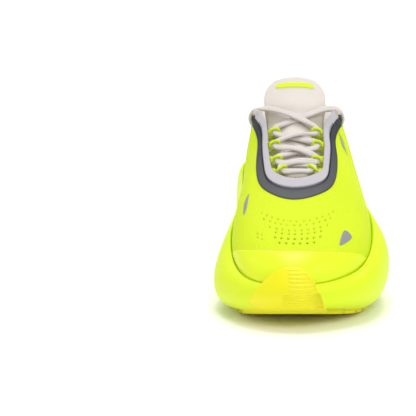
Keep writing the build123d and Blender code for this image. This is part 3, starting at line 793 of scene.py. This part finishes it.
def build_bumper():
    """The toe's rubber wrap: its top follows a bell line seen from the front, and ridges cross its front."""
    u = np.linspace(6.5, 9.12, 150)
    w = np.linspace(0, 1, 240)
    table = bumper_profile(u, np.broadcast_to(w, (len(u), len(w))))
    bell_x, bell_z = np.array(BELL, float).T
    above = table[..., 2] > np.interp(table[..., 0], bell_x, bell_z)
    reach = w[np.where(above.any(axis=1), above.argmax(axis=1), len(w) - 1)]
    keep = reach > 0.02
    u, reach = u[keep], np.convolve(np.pad(reach[keep], 3, "edge"), np.ones(7) / 7, "valid")
    share = np.concatenate([[0, 0.004, 0.012], np.linspace(0.03, 0.97, 110), [0.985, 0.995, 1]])
    line = bumper_profile(u, reach[:, None] * share[None, :])
    along = np.gradient(line, axis=0)
    up = np.gradient(line, axis=1)
    out = np.cross(along, up)
    out /= np.linalg.norm(out, axis=-1, keepdims=True)
    length = row_lengths(line)
    top_distance = length[:, -1:] - length
    end_distance = np.minimum(np.arange(len(u)), np.arange(len(u))[::-1])[:, None] * 0.5 + 0 * length
    height = 0.15 + 1.35 * dome(np.minimum(top_distance, end_distance), 1.2)
    x, z = line[..., 0], line[..., 2]
    upper, lower = ridge_field(x, z, *UPPER_RIDGES), ridge_field(x, z, *LOWER_RIDGES)
    height = height + (upper + lower) * smooth(top_distance / 2.5)
    outer = line + out * height[..., None]
    inner = (line - out * 0.9)[:, ::-1]
    rings = np.concatenate([outer, inner], axis=1)
    add_piece(
        "rubber_toe_bumper", rings.reshape(-1, 3), flat_ring_faces(rings), bumper_material(),
        replaces=["toe_bumper"], slot="bumper_rubber",
    )


BOARD_LINE = [
    (-143, 26), (-128, 24.5), (-98, 24), (-62, 24.5), (-20, 26), (20, 29), (70, 32), (118, 34), (142, 34),
]
FOOTBED_PROFILE = [
    # share of the way out from the middle, height above the lasting board's line
    (0.02, 1.3), (0.4, 1.3), (0.8, 1.3), (0.985, 1.3), (1.0, 2.4), (0.998, 4.0), (0.985, 5.0),
    (0.96, 5.3), (0.9, 5.2), (0.8, 5.1), (0.6, 5.0), (0.4, 5.0), (0.2, 5.0), (0.02, 5.0),
]


def build_footbed():
    """The footbed: the feather line drawn in, with a rounded edge, on the lasting board's curve."""
    u = np.linspace(0, STATIONS, 256, endpoint=False)
    edge = feather_line(u)
    out = normals(upper_point, u, 0 * u)
    out[:, 2] = 0
    out /= np.linalg.norm(out, axis=1, keepdims=True)
    rim_line = edge - out * (KNIT + 1.1)
    board_y, board_z = np.array(BOARD_LINE, float).T
    rings = []
    for share, rise in FOOTBED_PROFILE:
        ring = rim_line * share
        ring[:, 2] = np.interp(ring[:, 1], board_y, board_z) + rise
        rings.append(ring)
    rings = np.stack(rings, axis=1)
    flat = np.concatenate([rings[..., :2].reshape(-1, 2), [[0, 0], [0, 0]]]) * 0.001
    turned_solid("textile_footbed", rings, footbed_material(), uv=flat, replaces=["insole"], slot="footbed")


def build_sole():
    build_midsole()
    build_bumper()
    build_footbed()
    dress("outsole_forefoot", tread_material())
    dress("outsole_heel", tread_material())
    dress("strobel_board", board_material())


# ---------------------------------------------------------------- the upper
KNIT_COLUMNS, KNIT_ROWS = 448, 92
VENTS = [
    # height v, first and last station, number of holes, radius
    (0.5, 7.66, 8.54, 6, 0.95), (0.545, 7.5, 8.72, 8, 0.9), (0.588, 7.5, 8.74, 8, 0.8),
    (0.628, 7.3, 8.95, 10, 0.72), (0.666, 7.05, 9.12, 12, 0.66), (0.702, 6.9, 9.26, 13, 0.6),
    (0.5, 7.0, 7.16, 2, 0.5), (0.533, 6.96, 7.12, 2, 0.5),
]


def vent_grid():
    """The knit's grid of (u, v), its corners drawn to a circle round each vent, and the faces left out."""
    u = np.arange(KNIT_COLUMNS) * STATIONS / KNIT_COLUMNS
    v = np.linspace(0, 1, KNIT_ROWS)
    place = np.stack(np.meshgrid(u, v, indexing="ij"), axis=-1)
    gone = np.zeros((KNIT_COLUMNS, KNIT_ROWS), bool)
    corners = [(-1, -1), (0, -1), (1, -1), (1, 0), (1, 1), (0, 1), (-1, 1), (-1, 0)]
    for height, first, last, count, radius in VENTS:
        j = int(round(height * (KNIT_ROWS - 1)))
        for station in np.linspace(first, last, count):
            i = int(round(station * KNIT_COLUMNS / STATIONS))
            centre = place[i, j].copy()
            at = upper_point(centre[0], centre[1])
            pitch_u = np.linalg.norm(upper_point(centre[0] + 0.01, centre[1]) - at) / 0.01
            pitch_v = np.linalg.norm(upper_point(centre[0], centre[1] + 0.01) - at) / 0.01
            for di, dj in corners:
                way = np.array([di, dj], float) / np.hypot(di, dj)
                place[i + di, j + dj] = centre + way * radius / np.array([pitch_u, pitch_v])
            gone[i - 1 : i + 1, j - 1 : j + 1] = True
    return place, gone


def build_knit():
    """The knit shell: the upper's surface with its vents cut out, given its thickness inwards."""
    place, gone = vent_grid()
    points = upper_point(place[..., 0], place[..., 1])
    middle = points[:, KNIT_ROWS // 2]
    along = run_length(middle)
    up = row_lengths(points)
    uv = np.stack([np.broadcast_to(along[:, None], up.shape), up], axis=-1) * 0.001
    faces = grid_faces(KNIT_COLUMNS, KNIT_ROWS, wrap_rows=True)
    kept = ~gone[:, : KNIT_ROWS - 1].ravel()
    piece = add_piece(
        "knit_upper", points.reshape(-1, 3), [faces[kept]], knit_material(), uv=uv.reshape(-1, 2),
        replaces=["upper_knit"], slot="knit",
    )
    shell = piece.modifiers.new("Thickness", "SOLIDIFY")
    shell.thickness = KNIT * MM
    shell.offset = -1


FILM_FOOT = [(5.9, 0.2), (6.5, 0.17), (7.2, 0.09), (8, 0.07), (8.8, 0.09), (9.4, 0.13), (10, 0.17)]


def build_toe_film():
    """The smooth film over the toe: its top edge is an even curve in v about the toe's station."""
    u = np.linspace(5.6, 10.4, 140)
    foot_u, foot_v = np.array(FILM_FOOT, float).T
    high = 0.425 - 0.03 * (u - 7.95) ** 2 - 0.004 * (u - 7.95) ** 4
    low = np.minimum(np.interp(u, foot_u, foot_v), high - 0.004)
    add_layer(
        "smooth_toe_film", upper_point, u, low, high, 0.04, 0.5, toe_film_material(), radius=0.9, count=24,
        replaces=["toe_overlay"], slot="toe_film",
    )


def build_eyestay():
    """The charcoal overlay and the pale band inside it, set by their widths below the throat's edge."""
    u = np.linspace(3.0, 13.0, 330)
    band = band_width(u)[:, 0]
    trim = trim_width(u)[:, 0]
    near_ends = smooth((u - 3.0) / 0.35) * smooth((13.0 - u) / 0.35)
    low = down_from_top(u, trim * (0.72 + 0.28 * near_ends))
    add_layer(
        "charcoal_overlay", upper_point, u, low, down_from_top(u, band - 0.6), 0.05, 0.62, overlay_material(),
        radius=0.5, count=14, replaces=["eyestay_overlay"], slot="trim_film",
    )
    u = np.linspace(3.28, 12.72, 330)
    band = band_width(u)[:, 0]
    add_layer(
        "pale_eyestay_band", upper_point, u, down_from_top(u, band), 1.003, 0.05, 1.25, band_material(),
        radius=1.1, count=12, replaces=["eyestay_band"], slot="band",
    )
    build_stitches(u, band)


THREAD_RINGS = THREAD_SIDES = 6


def small_tubes(name, starts, ends, radius, up, material, sag=0.0, body="shoe"):
    """Many short threads as one piece: each is a tube of a few rings whose radius follows a half sine."""
    t = np.linspace(0, 1, THREAD_RINGS)
    angle = np.linspace(0, 2 * np.pi, THREAD_SIDES, endpoint=False)
    way = ends - starts
    way_unit = way / np.linalg.norm(way, axis=1, keepdims=True)
    side = np.cross(way_unit, up)
    side /= np.linalg.norm(side, axis=1, keepdims=True)
    top = np.cross(side, way_unit)
    bend = up[:, None] * (sag * np.sin(np.pi * t))[None, :, None]
    centre = starts[:, None] + way[:, None] * t[None, :, None] + bend
    thick = radius * np.sqrt(np.clip(np.sin(np.pi * (0.04 + 0.92 * t)), 0, 1))
    cosine, sine = np.cos(angle)[None, None, :, None], np.sin(angle)[None, None, :, None]
    ring = side[:, None, None] * cosine + top[:, None, None] * sine
    rings = centre[:, :, None] + ring * thick[None, :, None, None]
    size = THREAD_RINGS * THREAD_SIDES
    lid = np.arange(THREAD_SIDES)
    lids = np.array([lid[::-1], size - THREAD_SIDES + lid])
    shift = (np.arange(len(starts)) * size)[:, None, None]
    sides = (grid_faces(THREAD_RINGS, THREAD_SIDES, wrap_columns=True)[None] + shift).reshape(-1, 4)
    faces = [sides, (lids[None] + shift).reshape(-1, THREAD_SIDES)]
    return add_piece(name, rings.reshape(-1, 3), faces, material, body=body)


def build_stitches(u, band):
    """A zigzag of dark thread over the join of the band and the overlay, at an even pitch along it."""
    v = down_from_top(u, band + 0.1)
    line = lifted(upper_point, u, v, 0.95)
    length = run_length(line)
    steps = np.arange(8, length[-1] - 8, 1.55)
    station = np.interp(steps, length, u)
    inset = np.interp(station, u, band)
    starts = lifted(upper_point, station, down_from_top(station, inset - 1.5), 1.4)
    slant = np.interp(steps + 0.55, length, u)
    ends = lifted(upper_point, slant, down_from_top(slant, inset + 0.75), 0.75)
    up = normals(upper_point, station, down_from_top(station, inset))
    small_tubes("band_stitches", starts, ends, 0.32, up, thread_and_painted_shade_material(), sag=0.3)


COLLAR_ENDS = (12.72, 19.28)  # stations of the two ends, at the eyestays
COLLAR_SECTION = [
    (0.35, 6.0), (1.1, 3.6), (1.3, 0.8), (0.2, -1.6), (-2.6, -2.6), (-6.2, -1.6), (-9.0, 2.6), (-9.8, 8.5),
    (-9.0, 15), (-7.2, 22), (-5.0, 29), (-3.4, 37), (-2.7, 46), (-2.0, 46), (-2.0, 30), (-2.0, 12),
    (-1.9, 1.5), (0.0, 1.2), (0.05, 6.0),
]


def collar_section():
    """The padded collar's section, a closed smooth curve of (offset outwards, distance below the top line)."""
    return closed_curve(COLLAR_SECTION)(np.linspace(0, len(COLLAR_SECTION), 76, endpoint=False))


def build_collar():
    """The padded collar: its section carried round the ankle, thinner towards both ends at the eyestays."""
    u = np.linspace(*COLLAR_ENDS, 210)
    share = np.minimum(u - COLLAR_ENDS[0], COLLAR_ENDS[1] - u)
    full = smooth(share / 1.2)
    section = collar_section()
    thin = 0.36 + 0.64 * full
    depth = section[None, :, 1] * (0.5 + 0.5 * full)[:, None]
    out = section[None, :, 0]
    offset = out * np.where(out < -2, thin[:, None], 1.0)
    offset = np.where(out < -2, np.minimum(offset, -2.0), offset)
    offset = offset + np.where(out > 0, 1.5 * (1 - smooth(share / 0.8))[:, None], 0.0)
    quilt = 0.35 * np.sin(depth * 0.55) * full[:, None] * (out < -4)
    v = down_from_top(np.broadcast_to(u[:, None], depth.shape), np.maximum(depth, 0))
    rise = np.maximum(-depth, 0) / 60
    points = lifted(upper_point, np.broadcast_to(u[:, None], v.shape), v + rise, offset + quilt)
    rings = points[:, ::-1]
    vertices, faces = tube_mesh(rings)
    uv = np.concatenate([sweep_uv(rings, 110), [[0, 0], [0, 0]]])
    piece = add_piece(
        "padded_collar", vertices, faces, lining_material(), uv=uv, replaces=["collar_padding", "collar_lining"],
        slot="lining",
    )


def build_heel():
    """The heel's textile panel and the tape down its seam."""
    u = np.linspace(14.35, 17.65, 120)
    low = 0.66 - 0.14 * np.cos((u - 16) / 1.65 * np.pi / 2) ** 2
    add_layer(
        "heel_textile_panel", upper_point, u, low, 0.985, 0.05, 0.85, heel_material(), radius=0.7,
        replaces=["heel_panel"], slot="heel_fabric",
    )
    u = np.linspace(15.86, 16.14, 16)
    add_layer(
        "heel_seam_tape", upper_point, u, 0.47, 0.985, 0.85, 1.55, band_material(), radius=0.5, count=40,
        replaces=["backstay_tape"], slot="tape",
    )


def patch_outline(u_middle, v_middle, half_u, half_v, shape):
    """A small patch's stations and its low and high edges; shape gives both edges from -1 to 1 along it."""
    a = np.linspace(-1, 1, 28)
    low, high = shape(a)
    return u_middle + a * half_u, v_middle + low * half_v, v_middle + high * half_v


def build_painted_vent_shade():
    """Painted shade behind the vents: a dark layer under the knit that stands for the shade inside the shoe, seen
    through them.
    """
    u = np.linspace(6.7, 9.45, 80)
    high = 0.765 - 0.06 * ((u - 8.05) / 1.3) ** 2
    add_layer(
        "vent_backing", upper_point, u, 0.455, high, -KNIT - 0.6, -KNIT - 0.12, thread_and_painted_shade_material(), radius=0.3,
        count=14,
    )


def build_reflectors():
    """Plain reflective patches at the ball of the foot, and three slanted dashes on the lateral quarter."""

    def lateral(a):
        round_off = np.sqrt(np.clip(1 - np.abs(a) ** 5, 0, 1))
        top = 1 - 1.25 * np.abs(a - 0.1) ** 1.5
        low = -0.85 + 0.15 * a
        foot = low + 0.3 * (1 - round_off)
        return foot, np.maximum(low + (top - low) * round_off, foot)

    def medial(a):
        round_off = np.sqrt(np.clip(1 - np.abs(a) ** 4, 0, 1))
        low, top = -0.15 - 0.85 * (1 + a) / 2, 1 - 1.1 * (1 + a) / 2
        middle = (low + top) / 2
        return middle + (low - middle) * round_off, middle + (top - middle) * round_off

    patches = (
        ("lateral_reflector", "reflector_lateral", 9.42, 0.478, 0.22, 0.055, lateral),
        ("medial_reflector", "reflector_medial", 6.08, 0.665, 0.14, 0.085, medial),
    )
    for name, node, u_middle, v_middle, half_u, half_v, shape in patches:
        u, low, high = patch_outline(u_middle, v_middle, half_u, half_v, shape)
        add_layer(
            name, upper_point, u, low, np.maximum(high, low + 0.002), 0.05, 0.32, reflective_material(),
            radius=0.25, count=12, replaces=[node], slot="reflective",
        )
    for number in range(3):
        start = 11.98 + 0.12 * number
        u = np.linspace(start, start + 0.07, 10)
        slope = (u - start) * 0.6
        low, high = 0.68 + 0.025 * number + slope, 0.745 + 0.025 * number + slope
        add_layer(
            f"side_dash_mark_{number + 1}", upper_point, u, low, high, 0.05, 0.3, reflective_material(),
            radius=0.22, count=12, replaces=[f"side_dash_{number + 1}"], slot="reflective",
        )


def build_upper():
    build_knit()
    build_toe_film()
    build_eyestay()
    build_collar()
    build_heel()
    build_painted_vent_shade()
    build_reflectors()
    for node in ("toe_puff", "heel_counter"):
        dress(node, board_material())


# ---------------------------------------------------------------- the tongue
def tongue_surface(u, v):
    """The tongue's face with its padding: it swells above the laces and in a low dome between them."""
    point = tongue_point(v, u)
    y = point[..., 1]
    full = 2.2 * smooth((y - 14) / 6) * (1 - u**2) + 1.8 * np.exp(-(((y - 8) / 6) ** 2) - (u / 0.55) ** 2)
    lower = 0.8 * smooth((8 - y) / 10) * (1 - u**2) * smooth((y + 60) / 15)
    point[..., 1] -= 0.55 * (full + lower)
    point[..., 2] += 0.75 * (full + lower)
    return point


def build_tongue():
    """The padded tongue, its raised bar and the painted shade of its small perforations."""
    edge = -1 + 0.12 * (1 - np.cos(np.linspace(0, np.pi / 2, 6)[:-1]))
    u = np.concatenate([edge, np.linspace(-0.88, 0.88, 56), -edge[::-1]])
    rings, uv = layer_grid(tongue_surface, u, 0.0, 0.995, -6.3, 0.0, radius=3.1, count=90)
    piece = add_piece(
        "padded_tongue", rings.reshape(-1, 3), flat_ring_faces(rings), tongue_material(), body="tongue",
        uv=uv.reshape(-1, 2) * 0.001,
        replaces=["tongue_face", "tongue_padding", "tongue_lining"], slot="tongue_fabric",
    )
    u = np.linspace(-0.62, 0.62, 40)
    bend = 0.012 * (u / 0.62) ** 2
    half_height = 0.024 * np.sqrt(np.clip(1 - (np.abs(u) / 0.622) ** 8, 0, 1)) + 0.001
    add_layer(
        "tongue_bar_print", tongue_surface, u, 0.862 + bend - half_height, 0.862 + bend + half_height, 0.02,
        0.6, badge_material(), radius=0.4, count=12, body="tongue", replaces=["tongue_badge"], slot="badge",
    )
    build_perforation_shade()


PERFORATION_ROWS = [(0.385, -0.62), (0.35, -0.5), (0.2, -0.55)]  # along the tongue, and the first hole across


def build_perforation_shade():
    """Small dark marks on the tongue's lower face, painted shade standing for the inside of its perforation
    holes: two staggered rows between the laces and one below.
    """
    s, a = np.array([(row, first + 0.25 * number) for row, first in PERFORATION_ROWS for number in range(5)]).T
    centre = tongue_surface(a, s)
    out = normals(tongue_surface, a, s)
    small_tubes(
        "tongue_perforations", centre - out * 0.5, centre + out * 0.09, 0.5, np.tile([1.0, 0, 0], (len(a), 1)),
        thread_and_painted_shade_material(), body="tongue",
    )


# ---------------------------------------------------------------- the lacing
def along_edge(station, distance):
    """The station that lies this far along the throat's edge, towards the eyestay's top."""
    pitch = np.linalg.norm(top_line(station + 0.01) - top_line(station - 0.01)) / 0.02
    return station + distance / pitch * (-1 if station < STATIONS / 2 else 1)


def by_throat(station, inward, rise, along=0.0):
    """A point this far in from the knit's inner face at the throat's edge, and above the edge."""
    station = along_edge(station, along)
    here = top_line(station)
    way = top_line(station + (-0.01 if station < STATIONS / 2 else 0.01)) - here
    way /= np.linalg.norm(way)
    inwards = np.array([1.0 if station < STATIONS / 2 else -1.0, 0, 0])
    inwards -= way * inwards.dot(way)
    inwards /= np.linalg.norm(inwards)
    face = lifted(upper_point, station, 1.0, -KNIT) - here
    return here + inwards * (inward + max(0.0, face.dot(inwards))) + np.array([0, 0, rise])


def under_knit(station, distance, depth, along):
    station = along_edge(station, along)
    v = float(down_from_top(station, distance))
    return lifted(upper_point, station, v, -KNIT - depth)


def loop_route(station, run, reach, shift):
    """From under the knit, along the throat's edge, over the lace, down inside its turn and back under."""
    return [
        under_knit(station, 8.0, 1.8, run + 2.5),
        by_throat(station, 1.5, -2.0, run),
        by_throat(station, 1.2, -1.2, -1.5),
        by_throat(station, 1.2, 3.4, shift - 1.2),
        by_throat(station, reach, 3.7, shift),
        by_throat(station, reach - 0.1, -2.8, shift),
        by_throat(station, 1.4, -3.9, shift / 2 + 1.7),
        under_knit(station, 8.0, 1.8, 1.9),
    ]


THROAT_UP = np.array([0, -0.43, 0.9])  # square to the throat's run, away from the foot


def turn(station):
    low = TURN_HALF + (BAR_DROP if station in (LOOP_STATIONS[0], STATIONS - LOOP_STATIONS[0]) else 0)
    return [by_throat(station, LACE_IN, LACE_RISE, along) for along in (-low, TURN_HALF)]


def crossing(start, end, rise):
    """Points between two turns on opposite sides of the throat, raised squarely off the run of the throat."""
    _, back, up = end - start
    away = np.array([0, -up, back]) / np.hypot(back, up)
    shares = (0.23, 0.4, 0.6, 0.77)
    rises = (0.7 * rise, rise, rise, 0.7 * rise)
    return [start * (1 - share) + end * share + away * height for share, height in zip(shares, rises)]


def top_end(side):
    """The lace's end: over the eyestay's top corner, in through its eyelet and down inside the quarter."""
    x, y, _ = top_line(3.0 if side < 0 else 13.0)
    over = [(-9.0, -3.8, 117.4), (-1.5, -2.2, 117.2), (2.6, -1.6, 114.8), (4.2, -1.9, 108.5)]
    down = [(-0.6, -2.6, 103.0), (-0.4, -5.5, 96.0), (1.5, -13.0, 87.0), (3.5, -23.0, 78.0), (4.5, -32.0, 69.0)]
    up = [(0, -0.6, 0.8), (side * 0.2, -0.3, 0.93), (side * 0.85, -0.15, 0.5), (side, 0, 0.15)]
    up += [(side * 0.7, 0, 0.7), (-side * 0.3, -1, 0), (-side, 0, 0), (-side, 0, 0), (-side, 0, 0)]
    points = [np.array([x + side * a, y + b, z]) for a, b, z in over + down]
    return points, [np.array(u, float) for u in up]


def lace_half(side):
    """One half of the lace, from the bar's corner up; each control point carries its up, width and height."""
    sizes = bpy.context.scene.shoe_sizes
    flat = (sizes.lace_width / MM, sizes.lace_thickness / MM)
    gathered = (flat[0] * 0.82, flat[1] * 1.2)
    points = turn(LOOP_STATIONS[0] if side < 0 else STATIONS - LOOP_STATIONS[0])
    girths = [gathered] * 2
    rise = 3.0 if side < 0 else 0.2
    for station in LOOP_STATIONS[1:]:
        side = -side
        corners = turn(station if side < 0 else STATIONS - station)
        points += crossing(points[-1], corners[0], rise) + corners
        girths += [flat] * 4 + [gathered] * 2
    end, end_up = top_end(-side)
    points += crossing(points[-1], end[0], rise) + end
    girths += [flat] * (4 + len(end))
    ups = [THROAT_UP] * (len(points) - len(end)) + end_up
    return [np.concatenate(parts) for parts in zip(points, ups, girths)]


def build_lace():
    """One flat lace on a smooth line through the part's own route, gathered where it turns in a loop."""
    medial, lateral = lace_half(-1), lace_half(1)
    bar = []
    for share in (0.3, 0.7):
        point = medial[0] * (1 - share) + lateral[0] * share
        point[:3] += [0, -0.5, 0.6]
        bar.append(point)
    line, _ = curve_through(medial[::-1] + bar + lateral, samples_per_run=14)
    soft = np.hanning(61)
    wobble = np.random.default_rng(4).normal(size=(2, len(line)))
    wobble = np.stack([np.convolve(w, soft / np.linalg.norm(soft), "same") for w in wobble])
    up = line[:, 3:6] + 0.25 * wobble[0][:, None] * np.array([0, 1, 0])
    rings = sweep(line[:, :3], up, line[:, 6] * (1 + 0.04 * wobble[1]), line[:, 7], around=16, squareness=0.72)
    vertices, faces = tube_mesh(rings)
    uv = np.concatenate([sweep_uv(rings, 13)[:, ::-1], [[0, 0], [0, 0]]])
    add_piece("flat_lace", vertices, faces, lace_material(), uv=uv, replaces=["lace"], slot="lace")


def build_loops():
    """The eight cord loops, each a round cord on a smooth line."""
    diameter = bpy.context.scene.shoe_sizes.cord_diameter / MM
    for number, (station, *sizes) in enumerate(zip(LOOP_STATIONS, CORD_RUN, LOOP_REACH, LOOP_SHIFT), 1):
        for side, place in (("medial", station), ("lateral", STATIONS - station)):
            line, _ = curve_through(loop_route(place, *sizes), samples_per_run=12)
            up = np.tile([0.3, 0.2, 1.0], (len(line), 1))
            rings = sweep(line, up, diameter, diameter, around=12, squareness=1.0)
            vertices, faces = tube_mesh(rings)
            uv = np.concatenate([sweep_uv(rings, 6.3), [[0, 0], [0, 0]]])
            add_piece(
                f"cord_loop_{side}_{number}", vertices, faces, cord_material(), uv=uv,
                replaces=[f"lace_loop_{side}_{number}"], slot="loop_cord",
            )


def build_lacing():
    build_loops()
    build_lace()
    for node in ("aglet_1", "aglet_2"):
        dress(node, aglet_material())


# ---------------------------------------------------------------- the stage
CAMERA_ELEVATION, CAMERA_DISTANCE, CAMERA_LENS = 12, 2.25, 293.6  # degrees, metres and millimetres
CAMERA_TARGET = (-0.0623, -0.075, 0.0667)  # metres


def build_stage():
    """A plain pale floor, three soft lights and a camera low in front of the toe."""
    mesh = bpy.data.meshes.new("floor")
    mesh.from_pydata([(-4, -4, 0), (4, -4, 0), (4, 4, 0), (-4, 4, 0)], [], [(0, 1, 2, 3)])
    floor = bpy.data.objects.new("floor", mesh)
    bpy.context.scene.collection.objects.link(floor)
    floor.data.materials.append(
        finish_material("Pale floor", "floor", (0.99, 0.99, 0.99), 0.2, 0.6, bump=0.01, fine=60.0, broad=3.0)
    )
    lights = (
        ("front key", (0.5, -1.6, 1.5), 1.0, 9.5), ("lateral fill", (1.5, -0.6, 1.0), 1.2, 4.0),
        ("medial fill", (-1.6, 0.0, 1.0), 1.2, 3.0), ("top", (0.0, 0.1, 1.8), 1.0, 13.0),
        ("backdrop", (0.0, 2.0, 1.6), 1.6, 20.0),
    )
    for name, place, size, power in lights:
        light = bpy.data.lights.new(name, "AREA")
        light.shape, light.size, light.energy = "DISK", size, power
        lamp = bpy.data.objects.new(name, light)
        aim = Vector((0, 0, 0.06)) - Vector(place)
        lamp.matrix_world = Matrix.Translation(place) @ aim.to_track_quat("-Z", "Y").to_matrix().to_4x4()
        bpy.context.scene.collection.objects.link(lamp)
    world = bpy.data.worlds.new("Studio")
    world.use_nodes = True
    world.node_tree.nodes["Background"].inputs["Color"].default_value = (1, 1, 1, 1)
    world.node_tree.nodes["Background"].inputs["Strength"].default_value = 0.55
    bpy.context.scene.world = world
    bpy.context.scene.view_settings.view_transform = "Standard"
    elevation = np.radians(CAMERA_ELEVATION)
    camera = bpy.data.objects.new("camera", bpy.data.cameras.new("camera"))
    away = np.array([0, -np.cos(elevation), np.sin(elevation)])
    camera.location = np.array(CAMERA_TARGET) + CAMERA_DISTANCE * away
    camera.rotation_euler = (np.pi / 2 - elevation, 0, 0)
    camera.data.lens = CAMERA_LENS
    bpy.context.scene.collection.objects.link(camera)
    bpy.context.scene.camera = camera


# ---------------------------------------------------------------- the add-on
def color_property(name, description, srgb):
    return bpy.props.FloatVectorProperty(
        name=name, description=description, subtype="COLOR", size=4, min=0, max=1, default=linear(srgb)
    )


def length_property(name, description, value):
    return bpy.props.FloatProperty(
        name=name, description=description, subtype="DISTANCE", unit="LENGTH", min=0.0001, default=value
    )


class ShoeColors(bpy.types.PropertyGroup):
    """The shoe's base colours."""

    knit: color_property("Knit", "Knit upper, cord loops and the tongue's bar", (225, 246, 0))
    film: color_property("Toe film", "Smooth film over the toe", (232, 248, 4))
    foam: color_property("Foam", "Midsole foam", (226, 246, 0))
    rubber: color_property("Rubber", "Toe bumper and tread", (246, 240, 0))
    overlay: color_property("Overlay", "Dark film round the throat", (46, 50, 55))
    band: color_property("Band", "Pale band along the throat's edge", (203, 198, 203))
    textile: color_property("Textile", "Tongue, collar, linings and heel panel", (230, 221, 213))
    lace: color_property("Lace", "Flat lace and its tips", (226, 219, 214))
    # The thread colour is also the colour of the painted shade behind the vents and in the tongue's perforations.
    thread: color_property("Thread", "Stitches and perforations", (26, 28, 36))
    reflective: color_property("Reflective", "Reflective patches and dashes", (156, 156, 158))
    floor: color_property("Floor", "Floor under the shoe", (253, 253, 253))


class ShoeSizes(bpy.types.PropertyGroup):
    """Sizes of the shoe's visible details."""

    lace_width: length_property("Lace width", "Width of the flat lace", 0.0052)
    lace_thickness: length_property("Lace thickness", "Thickness of the flat lace", 0.0024)
    cord_diameter: length_property("Cord diameter", "Diameter of the cord loops", 0.0020)
    rib_pitch: length_property("Rib pitch", "Distance between the knit's ribs", 0.0013)


class SHOE_OT_sole(bpy.types.Operator):
    """Build the midsole, the toe bumper and the footbed"""

    bl_idname = "shoe.sole"
    bl_label = "Sole"

    def execute(self, context):
        build_sole()
        return {"FINISHED"}


class SHOE_OT_upper(bpy.types.Operator):
    """Build the knit upper, its films and bands, the padded collar and the heel panel"""

    bl_idname = "shoe.upper"
    bl_label = "Upper"

    def execute(self, context):
        build_upper()
        return {"FINISHED"}


class SHOE_OT_tongue(bpy.types.Operator):
    """Build the padded tongue with its print and perforations"""

    bl_idname = "shoe.tongue"
    bl_label = "Tongue"

    def execute(self, context):
        build_tongue()
        return {"FINISHED"}


class SHOE_OT_lacing(bpy.types.Operator):
    """Build the cord loops and the flat lace"""

    bl_idname = "shoe.lacing"
    bl_label = "Lacing"

    def execute(self, context):
        build_lacing()
        return {"FINISHED"}


class SHOE_OT_stage(bpy.types.Operator):
    """Set the floor, the lights and the camera"""

    bl_idname = "shoe.stage"
    bl_label = "Stage"

    def execute(self, context):
        build_stage()
        return {"FINISHED"}


OPERATORS = (SHOE_OT_sole, SHOE_OT_upper, SHOE_OT_tongue, SHOE_OT_lacing, SHOE_OT_stage)


class SHOE_PT_build(bpy.types.Panel):
    """The shoe's colours, sizes and build steps"""

    bl_idname = "SHOE_PT_build"
    bl_label = "Running shoe"
    bl_space_type = "VIEW_3D"
    bl_region_type = "UI"
    bl_category = "Shoe"

    def draw(self, context):
        for group_name in ("shoe_colors", "shoe_sizes"):
            settings = getattr(context.scene, group_name)
            for name in settings.__annotations__:
                self.layout.prop(settings, name)
        for operator in OPERATORS:
            self.layout.operator(operator.bl_idname)


CLASSES = (ShoeColors, ShoeSizes, *OPERATORS, SHOE_PT_build)


def register():
    for cls in CLASSES:
        bpy.utils.register_class(cls)
    bpy.types.Scene.shoe_colors = bpy.props.PointerProperty(type=ShoeColors)
    bpy.types.Scene.shoe_sizes = bpy.props.PointerProperty(type=ShoeSizes)


def unregister():
    del bpy.types.Scene.shoe_colors, bpy.types.Scene.shoe_sizes
    for cls in reversed(CLASSES):
        bpy.utils.unregister_class(cls)


def main():
    register()
    bpy.ops.shoe.sole()
    bpy.ops.shoe.upper()
    bpy.ops.shoe.tongue()
    bpy.ops.shoe.lacing()
    bpy.ops.shoe.stage()


if __name__ == "__main__":
    main()
